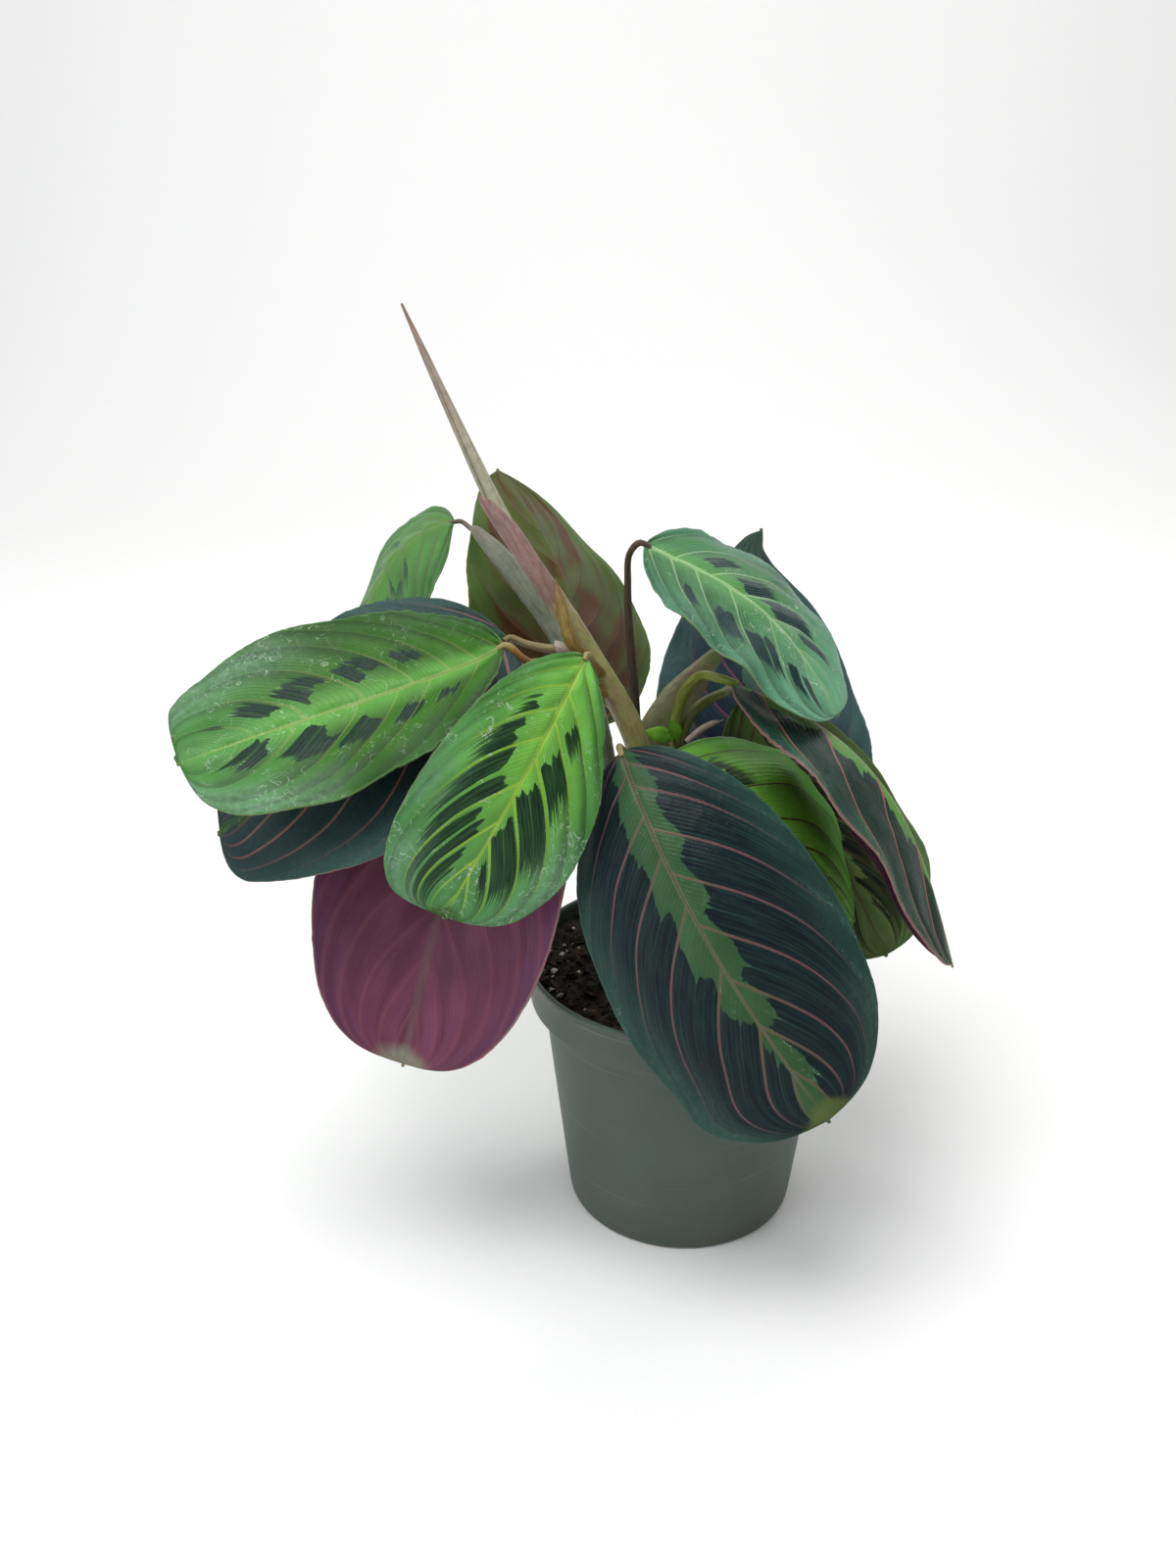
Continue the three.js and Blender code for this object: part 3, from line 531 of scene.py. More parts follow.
def knotted(run, to_end, angle, radius):
    """A stem with faint rings and a slightly uneven round."""
    rings = 0.05 * np.exp(-(((run + 9) % 27 - 13) / 1.1) ** 2)
    return radius * (1 + rings + 0.03 * np.sin(2 * angle + run * 0.11))


NO_KNUCKLE = 50
WRAP_POINTS = 200
WRAP_TURN = 1.1


def tube(name, path, radii, tones, shape=None, sides=18, flat=1.0, facing=FACING, step=1.1):
    """A grid rolled round a path. shape(mm, from_end, angle, radius) may change the radius."""
    rows = max(int(smooth_path(path, 3)[1] / step), 6)
    track, length = smooth_path(path, rows + 1)
    piece, u, v = grid_piece(name, sides, rows)
    row = np.round(v * rows).astype(int)
    side, across = (directions[row] for directions in frames_along(track, facing))
    radius = spread_over(v, radii)
    angle = 2 * math.pi * u
    run, to_end = v * length, (1 - v) * length
    if shape:
        radius = shape(run, to_end, angle, radius)
    ring = side * (flat * np.cos(angle) * radius)[:, None] + across * (np.sin(angle) * radius)[:, None]
    set_points(piece, (track[row] + ring) * MM)
    vertex = corner_vertices(piece)
    corners(piece, "to_end", to_end[vertex] + (NO_KNUCKLE if shape is knotted else 0))
    corners(piece, "run", run[vertex])
    corners(piece, "turn", u[vertex])
    weld(piece)
    return toned(piece, tones)


def wrapped(name, path, radii, tones, turns, wall, slant=0.0, edge=0.0, facing=FACING, lap=0.14,
            columns=40, step=1.2):
    """A thin sheet rolled round a path, with its outer edge lapping over its inner one."""
    rows = max(int(smooth_path(path, 3)[1] / step), 12)
    piece, u, v = grid_piece(name, columns, rows)
    track, length = smooth_path(path, WRAP_POINTS)
    where = np.clip(v * (1 - slant * (0.5 - 0.5 * np.cos(2 * math.pi * turns * u))), 0, 1)
    index = where * (WRAP_POINTS - 1)
    low = np.clip(index.astype(int), 0, WRAP_POINTS - 2)
    part = (index - low)[:, None]
    side, across = (directions[low] for directions in frames_along(track, facing))
    centre = track[low] * (1 - part) + track[low + 1] * part
    radius = spread_over(where, radii)
    radius = radius * (1 - lap + lap * u * turns) + edge * (u > 0.999)
    angle = 2 * math.pi * turns * u + WRAP_TURN * where
    ring = side * (np.cos(angle) * radius)[:, None] + across * (np.sin(angle) * radius)[:, None]
    set_points(piece, (centre + ring) * MM)
    vertex = corner_vertices(piece)
    corners(piece, "to_end", np.full(len(vertex), NO_KNUCKLE))
    corners(piece, "run", (where * length)[vertex])
    corners(piece, "turn", (u * turns)[vertex])
    apply_modifier(piece, "SOLIDIFY", thickness=wall * MM, offset=-1)
    return toned(piece, tones)


def united(name, pieces):
    """Joins crossing tubes into one closed skin."""
    whole = pieces[0]
    for other in pieces[1:]:
        apply_modifier(whole, "BOOLEAN", operation="UNION", solver="EXACT", object=other)
        bpy.data.objects.remove(other)
    whole.name = whole.data.name = name
    return whole


# Finishes

def linear(hex_colour):
    """An sRGB hex colour as linear light."""
    value = [int(hex_colour[i:i + 2], 16) / 255 for i in (1, 3, 5)]
    value = [c / 12.92 if c <= 0.04045 else ((c + 0.055) / 1.055) ** 2.4 for c in value]
    return (*value, 1.0)


def add(tree, kind, *values, out=0, sockets=None, **settings):
    """Adds a node: values go to its inputs in order, sockets by name, settings to the node."""
    made = tree.nodes.new("ShaderNode" + kind)
    for key, value in settings.items():
        setattr(made, key, value)
    for key, value in [*enumerate(values), *(sockets or {}).items()]:
        if isinstance(value, bpy.types.NodeSocket):
            tree.links.new(value, made.inputs[key])
        else:
            made.inputs[key].default_value = value
    return made.outputs[out]


def new_finish(name):
    """An empty material: itself, its node tree, its surface shader and its place in metres."""
    material = bpy.data.materials.new(name)
    material.use_nodes = True
    tree = material.node_tree
    return material, tree, tree.nodes["Principled BSDF"], add(tree, "TexCoord", out="Object")


def wire(tree, shader, **sockets):
    """Sets the surface shader's sockets, written with _ for a space."""
    for key, value in sockets.items():
        socket = shader.inputs[key.replace("_", " ")]
        if isinstance(value, bpy.types.NodeSocket):
            tree.links.new(value, socket)
        else:
            socket.default_value = value


def blend(tree, factor, below, above):
    """Lays one colour over another; either may be a hex colour."""
    below, above = (linear(c) if isinstance(c, str) else c for c in (below, above))
    return add(tree, "Mix", data_type="RGBA", out="Result", sockets={
        "Factor": factor, "A": below, "B": above})


def lit(tree, colour, light):
    """Makes a colour lighter or darker."""
    return add(tree, "HueSaturation", 0.5, 1.0, light, 1.0, colour)


def ramp(tree, value, low, high, start=0.0, end=1.0):
    """A smooth step between two values."""
    return add(tree, "MapRange", value, low, high, start, end, interpolation_type="SMOOTHSTEP")


def scaled(tree, value, low, high, start=0.0, end=1.0):
    """A straight step between two values."""
    return add(tree, "MapRange", value, low, high, start, end)


def maths(tree, operation, *values):
    return add(tree, "Math", *values, operation=operation)


def times(tree, value, *others):
    for other in others:
        value = maths(tree, "MULTIPLY", value, other)
    return value


def plus(tree, value, *others):
    for other in others:
        value = maths(tree, "ADD", value, other)
    return value


def clouded(tree, place, scale, detail=2.0, rough=0.5, distortion=0.0):
    return add(tree, "TexNoise", out="Fac", sockets={
        "Vector": place, "Scale": scale, "Detail": detail, "Roughness": rough,
        "Distortion": distortion})


def numbers(tree, names):
    """The numbers that a mesh keeps at its face corners."""
    return {key: add(tree, "Attribute", attribute_name=key, out="Fac") for key in names.split()}


def bumped(tree, strength, *heights):
    """Relief from heights in metres."""
    return add(tree, "Bump", out="Normal", sockets={
        "Strength": strength, "Distance": 1.0, "Height": plus(tree, *heights)})


# Living leaf skin: thin waxy cuticle over cells, satin. Colours are those of each kind of
# blade on the plant, young ones lighter; the shaded kind is darkened with painted shade and
# the bright kind lifted with painted light against a cast shadow. The first row is the skin
# beside the midrib (near), halfway (field), at the margin (far) and towards the tip
# (cool, a painted sheen), and the pigment. The second is the side veins' root, middle
# and end, the midrib's sides and core, the margin and the fine veins. Widths are in
# millimetres: half a vein, the teeth (tooth) and torn ends of the pigment, its notches, its
# fade at the margin, and the pale line of the margin (rimmed). Veins fade over shares of the
# half's width (reach) and places along the blade (ends). Amounts: painted shade behind the
# veins, where the blade dips (band), streaks and fine veins in the pigment (streak,
# lines), pale wax bloom with a painted sheen (bloom), white rubs (scratch), gloss
# and roughness of the cuticle, and the painted sheen at the tip (cooled). Ripe is
# the colour of the ripe tip.
SKIN_COLOURS = ("near", "field", "far", "cool", "pigment")
VEIN_COLOURS = ("vein_root", "vein", "vein_end", "rib", "core", "rim", "fine")
USUAL_FACE = dict(
    vein_half=0.3, reach=(0.7, 1.0), ends=(0.88, 0.99), band=0.3, tooth=0.8, torn=4.0, notch=0.8,
    fade=(-3.0, 3.0), streak=0.35, lines=0.3, bloom=0.1, scratch=0.1, rough=0.34, gloss=0.25,
    cooled=0.8, rimmed=0.75, ripe="#5c6834")


def skin_kind(skin, veins, **changes):
    colours = dict(zip(SKIN_COLOURS + VEIN_COLOURS, (skin + " " + veins).split()))
    return USUAL_FACE | colours | changes


FACES = {
    "dark": skin_kind(
        "#33522f #2c4f31 #28493f #2b5440 #08161c",
        "#5a5640 #66484a #504a48 #5a5c44 #45463a #32544a #35584f",
        vein_half=0.36, reach=(0.6, 1.0), band=0.1, tooth=0.7, torn=5.0, notch=1.3,
        fade=(-8.0, 3.0), lines=0.8, scratch=0.3, gloss=0.22, cooled=0.0),
    "blue": skin_kind(
        "#3f5a4a #3f5a50 #34504e #3c5054 #232f3b",
        "#5a4a48 #6a3f55 #574a58 #5c5a54 #4a4644 #5a6a6c #465a60",
        vein_half=0.5, reach=(0.4, 0.9), ends=(0.75, 0.9), band=0.1, tooth=0.7, torn=6.0, notch=1.0,
        fade=(-6.0, 8.0), streak=0.5, lines=0.6, bloom=0.2, rough=0.42, gloss=0.15, cooled=0.6,
        ripe="#3c5646"),
    "red_veined": skin_kind(
        "#5a8c34 #4a7c36 #1d4434 #2f604e #0a241c",
        "#96604a #8a5c56 #8a5f58 #86604a #6a4a3a #7a5c50 #3d6a5c",
        vein_half=0.42, reach=(0.75, 1.0), band=0.2, tooth=1.2, streak=0.25, lines=0.25,
        scratch=0.6, rough=0.38, gloss=0.2, cooled=0.3, rimmed=1.6),
    "pale": skin_kind(
        "#58903c #2f5c16 #274c18 #4a8044 #0d2a1e",
        "#7a9648 #5c6634 #55682f #7c9a50 #66803c #48703c #4f8636",
        vein_half=0.17, reach=(0.4, 0.75), ends=(0.72, 0.95), band=0.42, tooth=0.9, torn=1.8,
        notch=0.2, fade=(-1.1, 0.2), streak=0.12, lines=0.25, bloom=0.6, scratch=0.5, gloss=0.2,
        cooled=0.7),
    "pale_blue": skin_kind(
        "#528648 #3e7042 #3c6c50 #74b08c #0f2c2c",
        "#88ac74 #7fa07a #5f8a68 #94b884 #78a068 #568468 #5f9068",
        vein_half=0.26, reach=(0.6, 0.95), ends=(0.85, 0.98), band=0.4, tooth=0.7, torn=1.4,
        notch=0.3, fade=(-2.6, -0.4), streak=0.15, bloom=1.0, scratch=0.8, rough=0.33, gloss=0.27),
    "fresh": skin_kind(
        "#6ca83c #68a844 #4a883e #46804c #0d2c1a",
        "#93bf42 #84ae3c #5f9440 #90b848 #7aa63c #5c8a50 #6c9c4c",
        reach=(0.7, 0.98), band=0.4, tooth=0.9, torn=3.4, notch=0.9, fade=(-2.4, 0.6), lines=0.6,
        bloom=0.7, scratch=1.2, cooled=0.9, ripe="#345418"),
    # Bright: a young green blade's colours, lifted as painted light against the shadow that the blade
    # above casts on it.
    "bright": skin_kind(
        "#70b03c #68aa34 #589838 #2f5c1e #182c14",
        "#4a2c20 #46241e #55321f #6a8840 #50702c #9aa886 #4f8a2c",
        vein_half=0.34, torn=3.0, fade=(-2.0, 2.0), streak=0.3, gloss=0.3, cooled=0.2),
    # Shaded: a green blade's colours darkened, painted shade for a blade that stands under the others.
    "shaded": skin_kind(
        "#526a36 #506832 #50663a #5c7444 #12170c",
        "#5a3a2c #5c4032 #5a4a30 #50522e #403f24 #6a7a50 #3f5226",
        reach=(0.5, 0.95), ends=(0.5, 0.8), band=0.2, tooth=1.0, torn=5.0, fade=(-3.0, 4.0),
        streak=0.4, scratch=0.0, rough=0.42, gloss=0.15),
    "far_green": skin_kind(
        "#4c7c34 #48783a #3c6c34 #3f6c34 #2c4c38",
        "#4f7040 #5a6a44 #5a5a44 #5f7c44 #4c683a #6c8c60 #5a8a4c",
        reach=(0.5, 0.95), tooth=0.9, fade=(-4.0, 4.0), streak=0.5, bloom=0.2, scratch=0.2,
        rough=0.4, cooled=0.4),
    "dusky": skin_kind(
        "#33522f #2c4f31 #2c4c46 #2b5440 #24383a",
        "#5a5640 #8c665e #6a5654 #5a5c44 #45463a #32544a #35584f",
        vein_half=0.5, reach=(0.6, 1.0), band=0.1, tooth=0.7, torn=5.0, notch=1.3, fade=(-8.0, 3.0),
        lines=0.8, scratch=0.3, gloss=0.22, cooled=0.0),
}


def blade_face(name, look):
    """Upper face of a blade, with its veins and the pigment between them."""
    material, tree, shader, solid = new_finish(name)
    mark = numbers(tree, "phase pitch inner outer rim rib spread tip own place")
    across = add(tree, "SeparateXYZ", add(tree, "UVMap", uv_map="blade"), out=1)

    def over(key, *steps):
        return ramp(tree, mark[key], *steps)

    # Streaks run along the side veins, about 1 mm wide and 10 mm long.
    ten = times(tree, mark["phase"], 10.0)
    streak_place = add(tree, "CombineXYZ", ten, times(tree, across, 10.0), mark["own"])
    streaks = clouded(tree, streak_place, 1.1, 3.0, 0.6)
    teeth = clouded(tree, streak_place, 0.6, 1.0)
    clouds = clouded(tree, solid, 70.0, 3.0)

    # Green between the veins: brightest by the midrib, with painted shade behind each side vein,
    # where the blade dips, and towards the tip a cooler colour, a painted sheen.
    skin = blend(tree, over("spread", 0.03, 0.32), look["near"], look["field"])
    skin = blend(tree, over("spread", 0.45, 0.95), skin, look["far"])
    # Painted sheen: a cooler colour towards the tip, standing in for the sky's light on it.
    skin = blend(tree, over("place", 0.45, 1.0, 0.0, look["cooled"]), skin, look["cool"])
    # Painted shade: darker just behind each side vein, where the blade dips.
    behind = ramp(tree, maths(tree, "FRACT", mark["phase"]), 0.0, 0.7, 1.0, -0.25)
    behind = times(tree, behind, look["band"], over("spread", 0.12, 0.5))
    skin = lit(tree, skin, maths(tree, "SUBTRACT", scaled(tree, clouds, 0.3, 0.7, 0.86, 1.14), behind))

    # Fine veins run beside the side veins, ten to a cell, about 1.2 mm apart.
    fine = ramp(tree, maths(tree, "PINGPONG", ten, 0.5), 0.0, 0.24, 1.0, 0.0)
    skin = blend(tree, times(tree, fine, 0.2), skin, look["fine"])

    # Pigment: sharp teeth towards the midrib, torn streaks towards the margin, a little
    # lighter along its streaks, and lighter towards the margin as a painted sheen. A small vein
    # notches it halfway between two side veins.
    halfway = maths(tree, "PINGPONG", plus(tree, mark["phase"], 0.5), 0.5)
    small = times(tree, halfway, mark["pitch"])
    inner = plus(tree, mark["inner"], scaled(tree, teeth, 0.25, 0.75, -look["tooth"], look["tooth"]),
                 ramp(tree, small, 0.1, 0.8, -look["notch"], 0.0))
    outer = plus(tree, mark["outer"], scaled(tree, streaks, 0.25, 0.75, -look["torn"], look["torn"]))
    pigment = times(tree, ramp(tree, inner, -0.2, 0.25), ramp(tree, outer, *look["fade"]))
    streaks_and_sheen = plus(tree, scaled(tree, streaks, 0.4, 0.8, 0.0, look["streak"]),
                   over("spread", 0.6, 1.0, 0.0, 0.5))
    dark = blend(tree, streaks_and_sheen, look["pigment"], look["far"])
    striped = times(tree, fine, ramp(tree, streaks, 0.4, 0.65),
                    over("spread", 0.3, 0.9, 0.06, 0.45 * look["lines"]))
    dark = blend(tree, striped, dark, look["fine"])
    skin = blend(tree, pigment, skin, dark)
    short = times(tree, ramp(tree, small, 0.05, 0.35, 0.28, 0.0), over("spread", 0.18, 0.45, 1.0, 0.1))
    skin = blend(tree, short, skin, look["fine"])

    # Pale mist towards the margin and the tip: wax bloom with a painted sheen of light on it.
    speckle = clouded(tree, solid, 620.0, 3.0, 0.7)
    wax_and_sheen = times(tree, ramp(tree, clouded(tree, solid, 40.0, 1.0), 0.38, 0.62),
                  over("spread", 0.4, 0.9), over("place", 0.35, 0.85, 0.1, 1.0),
                  ramp(tree, speckle, 0.35, 0.72, 0.4 * look["bloom"], look["bloom"]), 0.5)
    skin = blend(tree, wax_and_sheen, skin, "#a4c4b4")

    # Margin: a paler line about 0.5 mm wide.
    skin = blend(tree, over("rim", 0.25 * look["rimmed"], look["rimmed"], 0.8, 0.0), skin, look["rim"])

    # Side veins taper towards the margin, where they fade.
    to_vein = times(tree, maths(tree, "PINGPONG", mark["phase"], 0.5), mark["pitch"])
    half = scaled(tree, mark["spread"], 0.0, 1.0, look["vein_half"] * 1.15, look["vein_half"] * 0.4)
    vein = times(tree, ramp(tree, maths(tree, "SUBTRACT", to_vein, half), -0.12, 0.26, 1.0, 0.0),
                 over("spread", *look["reach"], 0.92, 0.08), over("place", *look["ends"], 1.0, 0.15))
    vein_colour = blend(tree, over("spread", 0.02, 0.4), look["vein_root"], look["vein"])
    vein_colour = blend(tree, over("spread", 0.55, 0.95), vein_colour, look["vein_end"])
    skin = blend(tree, vein, skin, vein_colour)
    rib = times(tree, over("rib", -0.1, 0.3, 1.0, 0.0), over("place", 0.86, 0.97, 0.95, 0.25))
    skin = blend(tree, rib, skin, look["rib"])
    skin = blend(tree, over("rib", -0.6, -0.2, 0.8, 0.0), skin, look["core"])

    # The tip ripens yellow-green.
    ripe = plus(tree, mark["tip"], scaled(tree, clouds, 0.3, 0.7, -0.45, 0.45))
    skin = blend(tree, ramp(tree, ripe, 0.5, 1.15, 0.7, 0.0), skin, look["ripe"])

    # Rubs: broken white squiggles a quarter of a millimetre wide.
    squiggle = maths(tree, "SUBTRACT", clouded(tree, solid, 190.0, 1.0, 0.5, 1.6), 0.5)
    squiggle = scaled(tree, maths(tree, "ABSOLUTE", squiggle), 0.004, 0.018, 1.0, 0.0)
    patches = ramp(tree, clouded(tree, solid, 75.0, 1.0), 0.42, 0.58, 0.0, 0.85 * look["scratch"])
    broken = ramp(tree, clouded(tree, solid, 310.0, 1.0), 0.42, 0.52)
    rubs = times(tree, squiggle, patches, broken, maths(tree, "SUBTRACT", 1.0, pigment),
                 over("place", 0.1, 0.7, 0.3, 1.0))
    skin = blend(tree, rubs, skin, "#b9ccb6")

    # Relief in metres: fine veins stand 0.09 mm proud, cells 0.1 mm, folds of the skin 0.5 mm.
    relief = bumped(tree, 0.8, times(tree, fine, 0.00009),
                    times(tree, clouded(tree, solid, 1500.0, 2.0), 0.0001),
                    times(tree, clouded(tree, solid, 260.0, 3.0), 0.0005))
    shine = scaled(tree, clouds, 0.3, 0.7, look["rough"] - 0.05, look["rough"] + 0.08)
    wire(tree, shader, Base_Color=skin, Roughness=shine, Normal=relief, IOR=1.42,
         Specular_IOR_Level=look["gloss"])
    return material


# Underside of a blade: the same skin without the wax, duller and faintly velvety, maroon
# where the plant holds its red pigment and olive where it is young. Stalk_shade is a darker
# colour by the stalk, painted shade where the blades above shade it; patch is the amount of
# dark columns between veins, and ribbed and veined tell how far the midrib and the side
# veins show.
BACKS = {
    "maroon": dict(
        rim="#8c7064", stalk_shade="#3c1822", field="#6c3a50", far="#58304a", dark="#451c2a", vein="#7e4650",
        rib="#6a5c54", tip="#848472", sheen=0.2, ribbed=0.35, veined=0.35, patch=0.35),
    "olive": dict(
        rim="#5c6434", stalk_shade="#40441e", field="#465424", far="#456426", dark="#4e2616", vein="#503c22",
        rib="#5c6434", tip="#6f7c60", sheen=0.04, ribbed=0.35, veined=0.25, patch=0.75),
    "green": dict(
        rim="#6f8450", stalk_shade="#4c6430", field="#4c6a38", far="#42602e", dark="#3a5428", vein="#6f8450",
        rib="#7c8c50", tip="#6f8450", sheen=0.15, ribbed=0.7, veined=0.5, patch=0.4),
}


def blade_back(name, look):
    """Underside of a blade, with raised veins."""
    material, tree, shader, solid = new_finish(name)
    mark = numbers(tree, "phase pitch spread rib tip own place rim")
    clouds = clouded(tree, solid, 45.0, 3.0)
    ten = times(tree, mark["phase"], 10.0)
    slow = times(tree, mark["spread"], 3.0)
    wide = times(tree, mark["phase"], 1.1)
    streaks = clouded(tree, add(tree, "CombineXYZ", ten, slow, mark["own"]), 1.0, 3.0, 0.6)
    columns = clouded(tree, add(tree, "CombineXYZ", wide, slow, mark["own"]), 1.0, 1.0)

    # Painted shade: darker by the stalk, where the blades above shade the underside.
    skin = blend(tree, ramp(tree, mark["place"], 0.1, 0.65), look["stalk_shade"], look["field"])
    skin = blend(tree, ramp(tree, mark["spread"], 0.55, 1.0), skin, look["far"])
    patch = times(tree, ramp(tree, columns, 0.44, 0.62, 0.0, look["patch"]),
                  ramp(tree, mark["spread"], 0.7, 0.98, 1.0, 0.0))
    skin = blend(tree, patch, skin, look["dark"])
    skin = blend(tree, ramp(tree, streaks, 0.42, 0.75, 0.0, 0.35), skin, look["dark"])
    to_vein = times(tree, maths(tree, "PINGPONG", mark["phase"], 0.5), mark["pitch"])
    skin = blend(tree, ramp(tree, to_vein, 0.0, 1.2, look["veined"], 0.0), skin, look["vein"])
    skin = blend(tree, ramp(tree, mark["rib"], -0.2, 2.0, look["ribbed"], 0.0), skin, look["rib"])
    skin = lit(tree, skin, scaled(tree, clouds, 0.3, 0.7, 0.88, 1.12))
    ripe = plus(tree, mark["tip"], scaled(tree, clouds, 0.3, 0.7, -0.5, 0.5))
    skin = blend(tree, ramp(tree, ripe, 0.4, 1.2, 0.8, 0.0), skin, look["tip"])
    skin = blend(tree, ramp(tree, mark["rim"], 0.1, 0.9, 0.7, 0.0), skin, look["rim"])
    relief = bumped(tree, 0.8, times(tree, maths(tree, "PINGPONG", ten, 0.5), -0.00008),
                    ramp(tree, to_vein, 0.0, 0.9, 0.00016, 0.0),
                    times(tree, clouded(tree, solid, 1700.0, 2.0), 0.00007))
    wire(tree, shader, Base_Color=skin, Roughness=0.5, Normal=relief, IOR=1.4, Specular_IOR_Level=0.25,
         Sheen_Weight=look["sheen"], Sheen_Roughness=0.4, Sheen_Tint=linear("#d8b8d8"))
    return material


# Stalk skin: thin green bark on soft fibres, streaked lengthwise, satin. Its colours go by
# the "tone" of each stalk (0 for the first), with paler knuckles under the blades.
def stalk_skin(name, colours, knuckle_colour, streak_colour, rough=0.42):
    material, tree, shader, solid = new_finish(name)
    mark = numbers(tree, "tone to_end turn run")
    clouds = clouded(tree, solid, 240.0, 4.0, 0.6)
    angle = times(tree, mark["turn"], 2 * math.pi)
    fibre_place = add(tree, "CombineXYZ", maths(tree, "SINE", angle), maths(tree, "COSINE", angle),
                      times(tree, mark["run"], 0.05))
    fibres = clouded(tree, fibre_place, 3.4, 4.0, 0.65)
    skin, *others = colours.split()
    for tone, colour in enumerate(others):
        skin = blend(tree, ramp(tree, mark["tone"], tone, tone + 1.0), skin, colour)
    skin = blend(tree, ramp(tree, fibres, 0.42, 0.7, 0.0, 0.7), skin, streak_colour)
    skin = blend(tree, ramp(tree, mark["to_end"], 3.0, 6.0, 0.75, 0.0), skin, knuckle_colour)
    skin = lit(tree, skin, scaled(tree, clouds, 0.3, 0.7, 0.82, 1.18))
    relief = bumped(tree, 0.7, times(tree, fibres, 0.00035), times(tree, clouds, 0.0006),
                    times(tree, clouded(tree, solid, 1300.0, 2.0), 0.00006))
    wire(tree, shader, Base_Color=skin, Roughness=rough, Normal=relief, IOR=1.42)
    return material


# Pot: polypropylene, injection moulded and matte, grey-olive; light dust and handling rubs.
def pot_plastic():
    material, tree, shader, solid = new_finish("moulded polypropylene")
    mottle = clouded(tree, solid, 38.0, 4.0)
    skin = blend(tree, scaled(tree, mottle, 0.3, 0.7), "#34433b", "#3f4f46")
    # Rubs: short pale lines round the wall where pots slide together.
    rubbed = add(tree, "Mapping", out="Vector", sockets={"Vector": solid, "Scale": (20.0, 20.0, 900.0)})
    rubs = scaled(tree, clouded(tree, rubbed, 1.0), 0.64, 0.76, 0.0, 0.3)
    skin = blend(tree, rubs, skin, "#727c72")
    # Splashed soil dust near the foot.
    low = scaled(tree, add(tree, "SeparateXYZ", solid, out=2), 0.0, 0.03, 0.5, 0.0)
    skin = blend(tree, times(tree, low, mottle), skin, "#544a3a")
    relief = bumped(tree, 0.6, times(tree, clouded(tree, solid, 2200.0), 0.00006))
    shine = scaled(tree, mottle, 0.3, 0.7, 0.4, 0.52)
    wire(tree, shader, Base_Color=skin, Roughness=shine, Normal=relief, IOR=1.49)
    return material


# Potting mix: damp peat and bark crumbs, 1 to 4 mm, nearly black with brown fibres.
def potting_mix(name, dark="#15110d", light="#382a1e"):
    material, tree, shader, solid = new_finish(name)
    crumbs = add(tree, "TexVoronoi", out="Color", sockets={"Vector": solid, "Scale": 420.0})
    fine = clouded(tree, solid, 900.0, 4.0, 0.7)
    shade = times(tree, add(tree, "SeparateColor", crumbs, out="Red"), fine)
    skin = blend(tree, scaled(tree, shade, 0.1, 0.55), dark, light)
    relief = bumped(tree, 1.0, times(tree, fine, 0.0006))
    wire(tree, shader, Base_Color=skin, Roughness=0.85, Normal=relief, IOR=1.4)
    return material


# Perlite: puffed white glass, 1 to 3 mm, chalky and slightly stained.
def perlite():
    material, tree, shader, solid = new_finish("puffed perlite")
    pores = add(tree, "TexVoronoi", out="Distance", sockets={"Vector": solid, "Scale": 2600.0})
    stain = scaled(tree, clouded(tree, solid, 300.0, 3.0), 0.4, 0.75, 0.0, 0.7)
    skin = blend(tree, stain, "#dcd8cc", "#8f806a")
    relief = bumped(tree, 1.0, times(tree, pores, 0.0002))
    wire(tree, shader, Base_Color=skin, Roughness=0.8, Normal=relief, IOR=1.45)
    return material


# Pot and soil

POT_PROFILE = (
    (37.0, 0.0), (37.5, 0.25), (37.8, 0.5), (38.1, 1.2), (38.4, 3.0), (39.0, 8.0), (40.7, 23.0),
    (42.4, 38.0), (44.1, 53.0), (45.8, 68.0), (46.6, 75.2), (46.9, 75.8), (47.4, 76.0), (50.2, 76.0),
    (50.7, 76.2), (50.95, 76.6), (51.0, 77.2), (51.15, 82.0), (51.3, 87.3), (51.5, 87.7), (51.9, 88.1),
    (52.0, 88.5), (52.0, 89.2), (51.85, 89.7), (51.5, 89.95), (51.2, 90.0), (50.8, 89.95), (50.5, 89.7),
    (50.3, 89.2), (50.1, 88.0), (49.9, 83.0), (49.65, 78.6), (49.3, 78.1), (48.8, 77.95), (46.2, 77.4),
    (45.7, 77.1), (45.5, 76.4), (44.0, 63.0), (41.0, 37.0), (37.6, 8.0), (36.6, 2.2), (36.0, 1.7),
    (35.0, 1.6),
)
POT_SIDES = 144
DRAIN_COUNT = 6
DRAIN_RADIUS = 4
DRAIN_CIRCLE = 27


